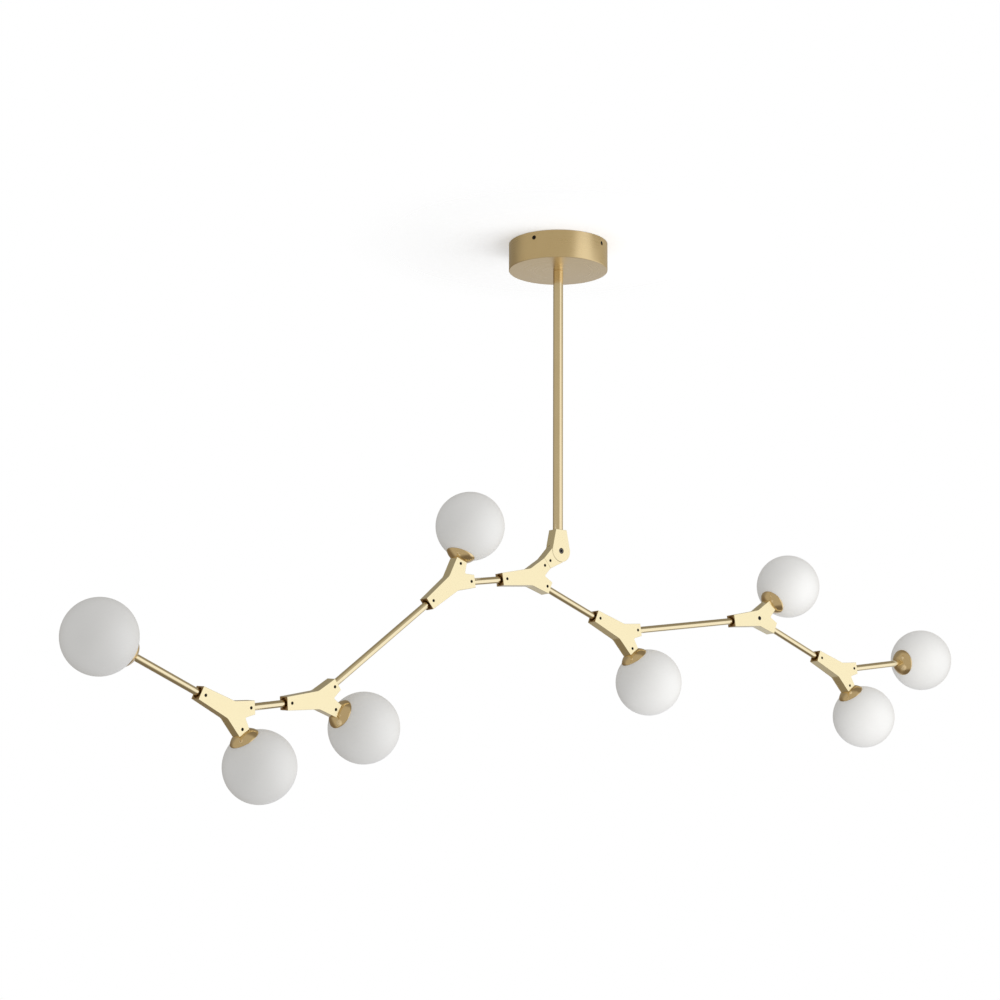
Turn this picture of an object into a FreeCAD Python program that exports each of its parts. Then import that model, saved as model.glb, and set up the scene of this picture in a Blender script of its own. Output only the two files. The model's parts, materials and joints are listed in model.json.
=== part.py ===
"""Branch chandelier: a canopy, a down rod with a friction hinge, seven Y forks and eight opal globes.

Frame, in millimetres: the origin is on the ceiling at the canopy's centre, +Z is up, +X runs along the
branch, and -Y is the side from which the branch is looked at.

Each fork has a frame of its own: the origin is where its three members meet, +X runs from the stem to the
crotch, +Y is across the fork, and +Z points out of the face that holds the set screws.
A fork has one stem and two arms. Every link is a tube that one fork's arm grips, and that turns in the next
fork's stem, so each branch can be turned about its link.
"""

import FreeCAD
import Part

import math
import os

from FreeCAD import Placement, Rotation, Vector

# Canopy and ceiling bracket
CANOPY_DIAMETER = 150.0
CANOPY_HEIGHT = 42.0
CANOPY_WALL = 1.2
CANOPY_EDGE_RADIUS = 1.0
SIDE_SCREW_COUNT = 4
SIDE_SCREW_AZIMUTH = 22.5
SIDE_SCREW_DROP = 9.0
SIDE_SCREW_LENGTH = 6.0
SIDE_SCREW_RIM = 0.5
BRACKET_DIAMETER = 116.0
BRACKET_THICKNESS = 2.0
BRACKET_ARM_WIDTH = 18.0
BRACKET_TAB_DROP = 15.0
CEILING_BOLT_SPACING = 90.0
CEILING_BOLT_HOLE = 5.5
CABLE_HOLE = 16.0
TERMINAL_LENGTH = 32.0
TERMINAL_WIDTH = 17.0
TERMINAL_HEIGHT = 14.0
TERMINAL_WAYS = 3
TERMINAL_WIRE_HOLE = 3.4
TERMINAL_SCREW_HOLE = 3.0
TERMINAL_OFFSET = 26.0

# Down rod, its threaded ends and its lock nut
ROD_DIAMETER = 15.0
ROD_WALL = 2.0
ROD_LENGTH = 400.0
SPIGOT_DIAMETER = 10.0
SPIGOT_BORE = 7.0
SPIGOT_DEPTH = 12.0
WASHER_DIAMETER = 22.0
WASHER_THICKNESS = 1.5
LOCKNUT_FLATS = 14.0
LOCKNUT_HEIGHT = 5.0
THREAD_SHOWING = 3.0

# Hinge
HINGE_TOP_REACH = 32.0
HINGE_TOP_WIDTH = 20.0
HINGE_DISC_DIAMETER = 33.0
HINGE_LOWER_REACH = 33.5
HINGE_RELIEF_DIAMETER = 29.0
PIVOT_DIAMETER = 5.0
PIVOT_HEAD_DIAMETER = 8.0
PIVOT_HEAD_HEIGHT = 4.0
PIVOT_SOCKET_FLATS = 4.0
PIVOT_SOCKET_DEPTH = 2.2
WIRE_GROOVE_OUTER_RADIUS = 11.0
WIRE_GROOVE_INNER_RADIUS = 6.0
WIRE_GROOVE_DEPTH = 3.0
HINGE_SCREW_INSET = 7.0

# Fork
FORK_THICKNESS = 17.0
COVER_THICKNESS = 1.5
STEM_LENGTH = 54.0
ARM_LENGTH = 37.0
ARM_ANGLE = 30.0
END_WIDTH = 18.5
WAIST_WIDTH = 25.2
WAIST_BACK = 1.0
WAIST_RADIUS = 12.0
CROTCH_REACH = 24.0
CROTCH_RADIUS = 2.0
STEM_SCREW_INSET = 8.0
ARM_SCREW_INSET = 6.0
STEM_GRIP = 16.0
ARM_GRIP = 12.0
MOUTH_DIAMETER = 15.0
MOUTH_DEPTH = 5.0
WIRE_BORE = 6.0
POCKET_DIAMETER = 19.0
POCKET_FLOOR = 4.0
BOSS_DIAMETER = 7.5

# Screws
SET_SCREW_DIAMETER = 4.0
SET_SCREW_RECESS = 0.6
SET_SCREW_FLATS = 2.0
SET_SCREW_SOCKET_DEPTH = 1.2
COVER_SCREW_DIAMETER = 4.0
COVER_SCREW_HEAD = 6.6
COVER_SCREW_LENGTH = 9.0
COVER_SCREW_FLATS = 2.5
COVER_SCREW_SOCKET_DEPTH = 1.2

# Branch tubes; a free length is what shows between two pieces
TUBE_DIAMETER = 10.0
TUBE_WALL = 1.5
GROOVE_DEPTH = 0.7
GROOVE_WIDTH = 5.0
LEFT_INNER_TUBE = 51.0
LEFT_MIDDLE_TUBE = 196.0
LEFT_OUTER_TUBE = 53.0
LEFT_LAMP_TUBE = 110.0
RIGHT_INNER_TUBE = 94.0
RIGHT_MIDDLE_TUBE = 196.0
RIGHT_OUTER_TUBE = 102.0
RIGHT_LAMP_TUBE = 109.0

# How the branches stand: the centre fork's slope, and each branch's turn about its link
CENTRE_SLOPE = 9.0
LEFT_INNER_TURN = 0.0
LEFT_MIDDLE_TURN = 8.0
LEFT_OUTER_TURN = 0.0
RIGHT_INNER_TURN = 0.0
RIGHT_MIDDLE_TURN = 180.0
RIGHT_OUTER_TURN = 180.0

# Lamp
GLOBE_DIAMETER = 100.0
GLOBE_WALL = 2.5
NECK_DIAMETER = 26.0
NECK_END_GAP = 0.8
CUP_DIAMETER = 42.0
CUP_DEPTH = 10.0
CUP_WALL = 1.5
CUP_FLAT_DIAMETER = 20.0
CUP_DISH_RADIUS = 22.0
CUP_LIP = 0.8
SLEEVE_WALL = 1.5
SLEEVE_LENGTH = 5.0
HOLDER_DIAMETER = 18.0
HOLDER_LENGTH = 20.0
TUBE_THREAD = 4.0
BULB_DIAMETER = 14.0
BULB_LENGTH = 40.0
BULB_BASE_LENGTH = 10.0
BULB_BASE_WIDTH = 12.0
BULB_BASE_THICKNESS = 5.0
BULB_BASE_DEPTH = 6.0

# Clearances
RUNNING_CLEARANCE = 0.05
THREAD_CLEARANCE = 0.05
LOOSE_CLEARANCE = 0.2
END_GAP = 0.5
TIP_GAP = 0.1
LAP_GAP = 0.2
DISC_GAP = 0.5

# How far a cutting shape runs past the faces that it cuts, and how near two places count as one
PAST = 1.0
SAME_PLACE = 0.001

# An arm's side of the fork, seen in the fork's own frame
UPPER = 1
LOWER = -1

HINGE_SCREW_REACH = HINGE_LOWER_REACH - HINGE_SCREW_INSET
STEM_SCREW_REACH = STEM_LENGTH - STEM_SCREW_INSET
ARM_SCREW_REACH = ARM_LENGTH - ARM_SCREW_INSET
TUBE_RADIUS = TUBE_DIAMETER / 2
GLOBE_RADIUS = GLOBE_DIAMETER / 2
CUP_RADIUS = CUP_DIAMETER / 2
CUP_RIM = math.sqrt((GLOBE_RADIUS + LOOSE_CLEARANCE) ** 2 - CUP_RADIUS ** 2)
CUP_BACK = CUP_RIM + CUP_DEPTH
CUP_FLOOR = CUP_BACK - CUP_WALL
PIVOT_HEIGHT = -CANOPY_HEIGHT - ROD_LENGTH - HINGE_TOP_REACH
X_AXIS = Vector(1, 0, 0)
Y_AXIS = Vector(0, 1, 0)
Z_AXIS = Vector(0, 0, 1)


# ---- basic shapes ----

def bar(radius, start, end):
    """A round bar along X."""
    return Part.makeCylinder(radius, end - start, Vector(start, 0, 0), X_AXIS)


def pin(radius, bottom, top, x=0.0, y=0.0):
    """A round bar along Z."""
    return Part.makeCylinder(radius, top - bottom, Vector(x, y, bottom), Z_AXIS)


def box(x_range, y_range, z_range):
    """A box from three (low, high) pairs."""
    size = [high - low for low, high in (x_range, y_range, z_range)]
    return Part.makeBox(*size, Vector(x_range[0], y_range[0], z_range[0]))


def hexagon(flats, bottom, top):
    """A hexagonal prism along Z, by its width across flats."""
    radius = flats / math.sqrt(3)
    corners = [Vector(radius * math.cos(k * math.pi / 3), radius * math.sin(k * math.pi / 3), bottom)
               for k in range(7)]
    return Part.Face(Part.makePolygon(corners)).extrude(Vector(0, 0, top - bottom))


def plate(outline, bottom, top):
    """A flat plate from a closed wire in the plane Z = 0."""
    face = Part.Face(outline)
    face.translate(Vector(0, 0, bottom))
    return face.extrude(Vector(0, 0, top - bottom))


def polar(radius, angle, x=0.0, y=0.0):
    """A point at an angle in degrees about (x, y)."""
    return Vector(x + radius * math.cos(math.radians(angle)), y + radius * math.sin(math.radians(angle)), 0)


def spun(edges):
    """A solid of revolution about the X axis."""
    return Part.Face(Part.Wire(edges)).revolve(Vector(0, 0, 0), X_AXIS, 360)


def line(start, end):
    """A straight edge between two points given as (x, y)."""
    return Part.makeLine(Vector(*start, 0), Vector(*end, 0))


def turned(shape, degrees, axis=Z_AXIS):
    """A copy of the shape, turned about an axis through the origin."""
    copy = shape.copy()
    copy.rotate(Vector(0, 0, 0), axis, degrees)
    return copy


def placed(shape, placement):
    """A copy of the shape, moved into a frame."""
    copy = shape.copy()
    copy.Placement = placement.multiply(copy.Placement)
    return copy


def fused(shapes):
    """One solid from several that meet."""
    return shapes[0].multiFuse(shapes[1:]).removeSplitter()


# ---- ceiling ----

def side_screw_azimuths():
    """The directions of the screws that hold the canopy to the bracket."""
    return [SIDE_SCREW_AZIMUTH + k * 360.0 / SIDE_SCREW_COUNT for k in range(SIDE_SCREW_COUNT)]


def tab_face():
    """How far out the bracket's tabs reach, just inside the canopy's wall."""
    inner = CANOPY_DIAMETER / 2 - CANOPY_WALL - LOOSE_CLEARANCE
    return math.sqrt(inner ** 2 - (BRACKET_ARM_WIDTH / 2) ** 2)


def make_canopy():
    """The round cup that covers the bracket, with its rim on the ceiling."""
    radius = CANOPY_DIAMETER / 2
    shell = pin(radius, -CANOPY_HEIGHT, 0)
    floor_edges = [e for e in shell.Edges if e.BoundBox.ZMax < -CANOPY_HEIGHT / 2]
    shell = shell.makeFillet(CANOPY_EDGE_RADIUS, floor_edges)
    shell = shell.cut(pin(radius - CANOPY_WALL, -CANOPY_HEIGHT + CANOPY_WALL, PAST))
    shell = shell.cut(pin(SPIGOT_DIAMETER / 2 + LOOSE_CLEARANCE, -CANOPY_HEIGHT - PAST, 0))
    hole_radius = SET_SCREW_DIAMETER / 2 + LOOSE_CLEARANCE
    hole = bar(hole_radius, radius - CANOPY_WALL - PAST, radius + PAST)
    rim = Part.makeCone(hole_radius, hole_radius + 2 * SIDE_SCREW_RIM, 2 * SIDE_SCREW_RIM,
                        Vector(radius - SIDE_SCREW_RIM, 0, 0), X_AXIS)
    cutter = hole.fuse(rim)
    cutter.translate(Vector(0, 0, -SIDE_SCREW_DROP))
    for azimuth in side_screw_azimuths():
        shell = shell.cut(turned(cutter, azimuth))
    return shell


def make_ceiling_bracket():
    """A round plate on the ceiling, with arms whose tabs turn down inside the canopy."""
    reach = tab_face()
    half = BRACKET_ARM_WIDTH / 2
    parts = [pin(BRACKET_DIAMETER / 2, -BRACKET_THICKNESS, 0)]
    for azimuth in side_screw_azimuths():
        parts.append(turned(box((0, reach), (-half, half), (-BRACKET_THICKNESS, 0)), azimuth))
        tab = box((reach - BRACKET_THICKNESS, reach), (-half, half), (-BRACKET_TAB_DROP, 0))
        hole = bar(SET_SCREW_DIAMETER / 2 + THREAD_CLEARANCE, reach - BRACKET_THICKNESS - PAST, reach + PAST)
        hole.translate(Vector(0, 0, -SIDE_SCREW_DROP))
        parts.append(turned(tab.cut(hole), azimuth))
    bracket = fused(parts)
    for side in (-1, 1):
        x = side * CEILING_BOLT_SPACING / 2
        bracket = bracket.cut(pin(CEILING_BOLT_HOLE / 2, -BRACKET_THICKNESS - PAST, PAST, x))
    return bracket.cut(pin(CABLE_HOLE / 2, -BRACKET_THICKNESS - PAST, PAST))


def side_screws():
    """Set screws that pass through the canopy's wall into the bracket's tabs."""
    outer = CANOPY_DIAMETER / 2 - SIDE_SCREW_RIM
    screw = bar(SET_SCREW_DIAMETER / 2, outer - SIDE_SCREW_LENGTH, outer)
    socket = hexagon(SET_SCREW_FLATS, outer - SET_SCREW_SOCKET_DEPTH, outer + PAST)
    screw = screw.cut(turned(socket, 90, Y_AXIS))
    screw.translate(Vector(0, 0, -SIDE_SCREW_DROP))
    return [turned(screw, azimuth) for azimuth in side_screw_azimuths()]


def make_ceiling_fasteners():
    """The canopy's side screws, and the washer and lock nut on the rod's upper thread."""
    floor = -CANOPY_HEIGHT + CANOPY_WALL
    washer_top = floor + WASHER_THICKNESS
    hole = pin(SPIGOT_DIAMETER / 2 + THREAD_CLEARANCE, floor - PAST, washer_top + LOCKNUT_HEIGHT + PAST)
    washer = pin(WASHER_DIAMETER / 2, floor, washer_top).cut(hole)
    nut = hexagon(LOCKNUT_FLATS, washer_top, washer_top + LOCKNUT_HEIGHT).cut(hole)
    return Part.makeCompound(side_screws() + [washer, nut])


def make_terminal_block():
    """A ceramic connector block under the bracket, with a wire hole and two screws for each way."""
    half_length = TERMINAL_LENGTH / 2
    half_width = TERMINAL_WIDTH / 2
    top = -BRACKET_THICKNESS
    middle = top - TERMINAL_HEIGHT / 2
    bottom = top - TERMINAL_HEIGHT
    block = box((-half_length, half_length), (-half_width, half_width), (bottom, top))
    pitch = TERMINAL_LENGTH / TERMINAL_WAYS
    for way in range(TERMINAL_WAYS):
        x = (way - (TERMINAL_WAYS - 1) / 2) * pitch
        wire_hole = Part.makeCylinder(TERMINAL_WIRE_HOLE / 2, TERMINAL_WIDTH + 2 * PAST,
                                      Vector(x, -half_width - PAST, middle), Y_AXIS)
        block = block.cut(wire_hole)
        for side in (-1, 1):
            y = side * TERMINAL_WIDTH / 4
            block = block.cut(pin(TERMINAL_SCREW_HOLE / 2, bottom - PAST, middle, x, y))
    block.translate(Vector(0, TERMINAL_OFFSET, 0))
    return block


def make_down_rod():
    """The rod between the canopy and the hinge, hollow, with a threaded spigot at each end."""
    top = -CANOPY_HEIGHT
    bottom = top - ROD_LENGTH
    thread_top = top + CANOPY_WALL + WASHER_THICKNESS + LOCKNUT_HEIGHT + THREAD_SHOWING
    tube = pin(ROD_DIAMETER / 2, bottom, top)
    tube = tube.cut(pin(ROD_DIAMETER / 2 - ROD_WALL, bottom + SPIGOT_DEPTH, top - SPIGOT_DEPTH))
    rod = fused([tube, pin(SPIGOT_DIAMETER / 2, bottom - SPIGOT_DEPTH, bottom + PAST),
                 pin(SPIGOT_DIAMETER / 2, top - PAST, thread_top)])
    return rod.cut(pin(SPIGOT_BORE / 2, bottom - SPIGOT_DEPTH - PAST, thread_top + PAST))


# ---- hinge ----

def member_outline(reach, end_width, relief_radius):
    """A disc about the origin, whose two edges narrow to a straight end at X = reach.

    The edge on the +Y side is tangent to the disc. The edge on the -Y side is tangent to the relief circle,
    which is smaller where the other member needs room to swing.
    """
    half = end_width / 2
    disc_radius = HINGE_DISC_DIAMETER / 2
    corner_angle = math.degrees(math.atan2(half, reach))
    corner_distance = math.hypot(reach, half)
    upper_angle = corner_angle + math.degrees(math.acos(disc_radius / corner_distance))
    relief_angle = corner_angle + math.degrees(math.acos(relief_radius / corner_distance))
    lower_angle = relief_angle - math.degrees(math.acos(relief_radius / disc_radius))
    upper = polar(disc_radius, upper_angle)
    lower = polar(disc_radius, -lower_angle)
    arc = Part.Arc(upper, Vector(-disc_radius, 0, 0), lower).toShape()
    return Part.Wire([arc, Part.makeLine(lower, Vector(reach, -half, 0)),
                      line((reach, -half), (reach, half)),
                      Part.makeLine(Vector(reach, half, 0), upper)])


def disc_recess_radius():
    """The radius to which each hinge member is cut back round the other's disc."""
    return HINGE_DISC_DIAMETER / 2 + DISC_GAP


def mid_wire_groove():
    """The radius of the middle of the ring groove that carries the wires round the pivot."""
    return (WIRE_GROOVE_OUTER_RADIUS + WIRE_GROOVE_INNER_RADIUS) / 2


def make_hinge_upper():
    """The hinge member on the rod: full thickness above, and a disc in the front half at the pivot."""
    half = FORK_THICKNESS / 2
    member = plate(member_outline(HINGE_TOP_REACH, HINGE_TOP_WIDTH, HINGE_DISC_DIAMETER / 2), -half, half)
    member = member.cut(pin(disc_recess_radius(), -half - PAST, LAP_GAP / 2))
    member = member.cut(pin(PIVOT_DIAMETER / 2 + RUNNING_CLEARANCE, -half, half + PAST))
    seat = half - PIVOT_HEAD_HEIGHT - SET_SCREW_RECESS
    member = member.cut(pin(PIVOT_HEAD_DIAMETER / 2 + LOOSE_CLEARANCE, seat, half + PAST))
    socket_floor = HINGE_TOP_REACH - SPIGOT_DEPTH - END_GAP
    socket = bar(SPIGOT_DIAMETER / 2 + THREAD_CLEARANCE, socket_floor, HINGE_TOP_REACH + PAST)
    wire_way = bar(WIRE_BORE / 2, mid_wire_groove(), HINGE_TOP_REACH)
    return member.cut(socket).cut(wire_way)


def make_hinge_lower():
    """The hinge member on the branch: full thickness below, and a disc in the rear half at the pivot."""
    half = FORK_THICKNESS / 2
    member = plate(member_outline(HINGE_LOWER_REACH, END_WIDTH, HINGE_RELIEF_DIAMETER / 2), -half, half)
    member = member.cut(pin(disc_recess_radius(), -LAP_GAP / 2, half + PAST))
    member = member.cut(pin(PIVOT_DIAMETER / 2 + RUNNING_CLEARANCE, -half - PAST, half))
    groove = pin(WIRE_GROOVE_OUTER_RADIUS, -WIRE_GROOVE_DEPTH, 0)
    groove = groove.cut(pin(WIRE_GROOVE_INNER_RADIUS, -WIRE_GROOVE_DEPTH - PAST, PAST))
    socket_floor = HINGE_LOWER_REACH - ARM_GRIP - END_GAP
    socket = bar(TUBE_RADIUS + THREAD_CLEARANCE, socket_floor, HINGE_LOWER_REACH + PAST)
    wire_way = bar(WIRE_BORE / 2, mid_wire_groove(), HINGE_LOWER_REACH)
    member = member.cut(groove).cut(socket).cut(wire_way)
    return member.cut(set_screw_hole(HINGE_SCREW_REACH))


def make_pivot_screw():
    """The socket-head screw that clamps the two hinge members."""
    half = FORK_THICKNESS / 2
    head_top = half - SET_SCREW_RECESS
    head = pin(PIVOT_HEAD_DIAMETER / 2, head_top - PIVOT_HEAD_HEIGHT, head_top)
    screw = fused([head, pin(PIVOT_DIAMETER / 2, -half + SET_SCREW_RECESS, head_top)])
    return screw.cut(hexagon(PIVOT_SOCKET_FLATS, head_top - PIVOT_SOCKET_DEPTH, head_top + PAST))


# ---- fork ----

def fork_outline():
    """The flat Y outline of a fork and of its cover, with sharp corners."""
    half = END_WIDTH / 2
    arm_outer = turned_point(ARM_LENGTH, half, ARM_ANGLE)
    arm_inner = turned_point(ARM_LENGTH, -half, ARM_ANGLE)
    upper = [Vector(-STEM_LENGTH, half, 0), Vector(-WAIST_BACK, WAIST_WIDTH / 2, 0), arm_outer, arm_inner]
    lower = [Vector(p.x, -p.y, 0) for p in reversed(upper)]
    points = upper + [Vector(CROTCH_REACH, 0, 0)] + lower
    return Part.makePolygon(points + points[:1])


def turned_point(x, y, degrees):
    """A point turned about Z."""
    return Rotation(Z_AXIS, degrees).multVec(Vector(x, y, 0))


def upright_edges(body, x):
    """The edges along Z that stand at a distance along X."""
    return [e for e in body.Edges if e.BoundBox.DiagonalLength - e.BoundBox.ZLength < SAME_PLACE
            and abs(e.CenterOfMass.x - x) < SAME_PLACE]


def fork_plate(bottom, top):
    """The Y outline as a plate, with its waist and crotch rounded."""
    body = plate(fork_outline(), bottom, top)
    body = body.makeFillet(WAIST_RADIUS, upright_edges(body, -WAIST_BACK))
    return body.makeFillet(CROTCH_RADIUS, upright_edges(body, CROTCH_REACH))


def set_screw_hole(reach):
    """The threaded hole of a set screw, from the front face into the bore."""
    return pin(SET_SCREW_DIAMETER / 2 + THREAD_CLEARANCE, 0, FORK_THICKNESS / 2 + PAST, reach)


def cover_screw_cutter(clearance):
    """The cover screw's shape, grown by a clearance: a countersunk head on the cover side, and a shank."""
    back = -FORK_THICKNESS / 2
    radius = COVER_SCREW_DIAMETER / 2 + clearance
    head = COVER_SCREW_HEAD / 2 + clearance
    cone = Part.makeCone(head, radius, head - radius, Vector(0, 0, back), Z_AXIS)
    return fused([cone, pin(radius, back, back + COVER_SCREW_LENGTH + clearance)])


def stem_mouth():
    """The wide mouth at the stem's end, round the tube."""
    return turned(bar(MOUTH_DIAMETER / 2, STEM_LENGTH - MOUTH_DEPTH, STEM_LENGTH + PAST), 180)


def make_fork():
    """A fork's body: three bores, three set screw holes, and a wiring pocket behind, round a screw boss."""
    half = FORK_THICKNESS / 2
    back = -half + COVER_THICKNESS
    body = fork_plate(back, half)
    bore = TUBE_RADIUS + RUNNING_CLEARANCE
    mid_pocket = (BOSS_DIAMETER + POCKET_DIAMETER) / 4
    stem = fused([bar(bore, STEM_LENGTH - STEM_GRIP - END_GAP, STEM_LENGTH + PAST),
                  bar(WIRE_BORE / 2, mid_pocket, STEM_LENGTH)])
    arm = fused([bar(bore, ARM_LENGTH - ARM_GRIP - END_GAP, ARM_LENGTH + PAST),
                 bar(WIRE_BORE / 2, mid_pocket, ARM_LENGTH)])
    pocket = pin(POCKET_DIAMETER / 2, back - PAST, half - POCKET_FLOOR)
    pocket = pocket.cut(pin(BOSS_DIAMETER / 2, back - 2 * PAST, half))
    body = body.cut(turned(stem, 180)).cut(turned(arm, ARM_ANGLE)).cut(turned(arm, -ARM_ANGLE)).cut(pocket)
    body = body.cut(stem_mouth()).cut(cover_screw_cutter(THREAD_CLEARANCE))
    body = body.cut(turned(set_screw_hole(STEM_SCREW_REACH), 180))
    for side in (UPPER, LOWER):
        body = body.cut(turned(set_screw_hole(ARM_SCREW_REACH), side * ARM_ANGLE))
    return body


def make_cover():
    """The thin plate that closes a fork's wiring pocket. The stem's mouth just reaches into it."""
    half = FORK_THICKNESS / 2
    cover = fork_plate(-half, -half + COVER_THICKNESS)
    return cover.cut(stem_mouth()).cut(cover_screw_cutter(THREAD_CLEARANCE))


def make_set_screw(reach, tip):
    """A socket set screw at X = reach, from just below the front face down to its tip."""
    top = FORK_THICKNESS / 2 - SET_SCREW_RECESS
    screw = pin(SET_SCREW_DIAMETER / 2, tip, top)
    socket = hexagon(SET_SCREW_FLATS, top - SET_SCREW_SOCKET_DEPTH, top + PAST)
    screw = screw.cut(socket)
    screw.translate(Vector(reach, 0, 0))
    return screw


def make_cover_screw():
    """The countersunk screw in the middle of the cover."""
    back = -FORK_THICKNESS / 2
    screw = cover_screw_cutter(0.0)
    return screw.cut(hexagon(COVER_SCREW_FLATS, back - PAST, back + COVER_SCREW_SOCKET_DEPTH))


def make_fork_screws():
    """A fork's three set screws and its cover screw. The stem's screw rides in the tube's groove."""
    grip_tip = TUBE_RADIUS + TIP_GAP
    groove_tip = TUBE_RADIUS - GROOVE_DEPTH + TIP_GAP
    arm_screw = make_set_screw(ARM_SCREW_REACH, grip_tip)
    return [turned(make_set_screw(STEM_SCREW_REACH, groove_tip), 180), turned(arm_screw, ARM_ANGLE),
            turned(arm_screw, -ARM_ANGLE), make_cover_screw()]


# ---- tubes ----

def branch_tube(start, end, groove_at=None):
    """A tube along X. A groove lets a stem's set screw hold it and still turn about it."""
    tube = bar(TUBE_RADIUS, start, end).cut(bar(TUBE_RADIUS - TUBE_WALL, start - PAST, end + PAST))
    if groove_at is None:
        return tube
    ring = bar(TUBE_RADIUS + PAST, groove_at - GROOVE_WIDTH / 2, groove_at + GROOVE_WIDTH / 2)
    return tube.cut(ring.cut(bar(TUBE_RADIUS - GROOVE_DEPTH, start, end)))


def link_tube(side, free_length):
    """The tube from one of a fork's arms to the stem of the next fork."""
    stem_mouth = ARM_LENGTH + free_length
    groove_at = stem_mouth + STEM_LENGTH - STEM_SCREW_REACH
    tube = branch_tube(ARM_LENGTH - ARM_GRIP, stem_mouth + STEM_GRIP, groove_at)
    return turned(tube, side * ARM_ANGLE)


def hinge_tube():
    """The short tube that joins the centre fork's upper arm to the lower hinge member."""
    return turned(branch_tube(ARM_LENGTH - ARM_GRIP, ARM_LENGTH + ARM_GRIP), UPPER * ARM_ANGLE)


def arm_lamp_tube(side, free_length):
    """The tube from a fork's arm into a lamp's cup."""
    end = ARM_LENGTH + free_length + CUP_WALL + TUBE_THREAD
    return turned(branch_tube(ARM_LENGTH - ARM_GRIP, end), side * ARM_ANGLE)


def stem_lamp_tube(free_length):
    """The tube from a fork's stem into a lamp's cup."""
    end = STEM_LENGTH + free_length + CUP_WALL + TUBE_THREAD
    return turned(branch_tube(STEM_LENGTH - STEM_GRIP, end, STEM_SCREW_REACH), 180)


# ---- lamp, in a frame at the globe's centre with +X away from the fork ----

def make_globe():
    """The opal glass globe, with a neck that screws into the cup."""
    inner_radius = GLOBE_RADIUS - GLOBE_WALL
    neck_radius = NECK_DIAMETER / 2
    neck_bore = neck_radius - GLOBE_WALL
    neck_end = dish_place(neck_radius, CUP_WALL) + NECK_END_GAP
    outer_x = -math.sqrt(GLOBE_RADIUS ** 2 - neck_radius ** 2)
    inner_x = -math.sqrt(inner_radius ** 2 - neck_bore ** 2)
    outer_neck = Vector(outer_x, neck_radius, 0)
    inner_neck = Vector(inner_x, neck_bore, 0)
    outer_arc = Part.Arc(outer_neck, Vector(0, GLOBE_RADIUS, 0), Vector(GLOBE_RADIUS, 0, 0))
    inner_arc = Part.Arc(Vector(inner_radius, 0, 0), Vector(0, inner_radius, 0), inner_neck)
    return spun([outer_arc.toShape(), line((GLOBE_RADIUS, 0), (inner_radius, 0)), inner_arc.toShape(),
                 line((inner_x, neck_bore), (neck_end, neck_bore)),
                 line((neck_end, neck_bore), (neck_end, neck_radius)),
                 line((neck_end, neck_radius), (outer_x, neck_radius))])


def dish_centre():
    """The centre of the arc that the cup's curved side follows."""
    lip = Vector(-CUP_RIM - CUP_LIP, CUP_RADIUS, 0)
    flat = Vector(-CUP_BACK, CUP_FLAT_DIAMETER / 2, 0)
    chord = lip - flat
    inward = Vector(chord.y, -chord.x, 0).normalize()
    return (lip + flat) * 0.5 + inward * math.sqrt(CUP_DISH_RADIUS ** 2 - (chord.Length / 2) ** 2)


def dish_point_at(x, wall):
    """The point of the cup's curved side at a place along the axis, drawn in by a wall."""
    centre = dish_centre()
    return Vector(x, centre.y + math.sqrt((CUP_DISH_RADIUS - wall) ** 2 - (x - centre.x) ** 2), 0)


def dish_place(radius, wall):
    """Where the cup's curved side is along the axis, at a distance from it, drawn in by a wall."""
    centre = dish_centre()
    return centre.x - math.sqrt((CUP_DISH_RADIUS - wall) ** 2 - (radius - centre.y) ** 2)


def cup_dome(wall):
    """The cup's outer shape drawn in by a wall, closed as a solid to the rim's plane."""
    back = dish_point_at(-CUP_BACK + wall, wall)
    lip = dish_point_at(-CUP_RIM - CUP_LIP, wall)
    centre = dish_centre()
    crown = centre + ((back + lip) * 0.5 - centre).normalize() * (CUP_DISH_RADIUS - wall)
    return spun([line((back.x, 0), (back.x, back.y)), Part.Arc(back, crown, lip).toShape(),
                 line((lip.x, lip.y), (-CUP_RIM, lip.y)),
                 line((-CUP_RIM, lip.y), (-CUP_RIM, 0)),
                 line((-CUP_RIM, 0), (back.x, 0))])


def make_cup():
    """The dished brass cup, with a sleeve inside for the globe's neck and a hole for the tube."""
    hollow = cup_dome(CUP_WALL)
    shell = cup_dome(0.0).cut(hollow)
    bore = NECK_DIAMETER / 2 + LOOSE_CLEARANCE
    sleeve = bar(bore + SLEEVE_WALL, -CUP_FLOOR - CUP_WALL / 2, -CUP_FLOOR + SLEEVE_LENGTH)
    sleeve = sleeve.cut(bar(bore, -CUP_BACK, -CUP_RIM))
    cup = fused([shell, sleeve.common(cup_dome(CUP_WALL / 2))])
    cup = cup.cut(Part.makeSphere(GLOBE_RADIUS + LOOSE_CLEARANCE))
    return cup.cut(bar(TUBE_RADIUS + THREAD_CLEARANCE, -CUP_BACK - PAST, -CUP_RIM))


def make_lampholder():
    """The ceramic two-pin lampholder, screwed on the tube's end inside the cup."""
    body = bar(HOLDER_DIAMETER / 2, -CUP_FLOOR, -CUP_FLOOR + HOLDER_LENGTH)
    thread_end = -CUP_FLOOR + TUBE_THREAD + END_GAP
    body = body.cut(bar(TUBE_RADIUS + THREAD_CLEARANCE, -CUP_FLOOR - PAST, thread_end))
    body = body.cut(bar(TUBE_RADIUS - TUBE_WALL, -CUP_FLOOR, -CUP_FLOOR + HOLDER_LENGTH - BULB_BASE_DEPTH))
    half_width = BULB_BASE_WIDTH / 2 + LOOSE_CLEARANCE
    half_thickness = BULB_BASE_THICKNESS / 2 + LOOSE_CLEARANCE
    front = -CUP_FLOOR + HOLDER_LENGTH
    slot_floor = front - BULB_BASE_DEPTH - LOOSE_CLEARANCE
    slot = box((slot_floor, front + PAST), (-half_width, half_width), (-half_thickness, half_thickness))
    return body.cut(slot)


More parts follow.
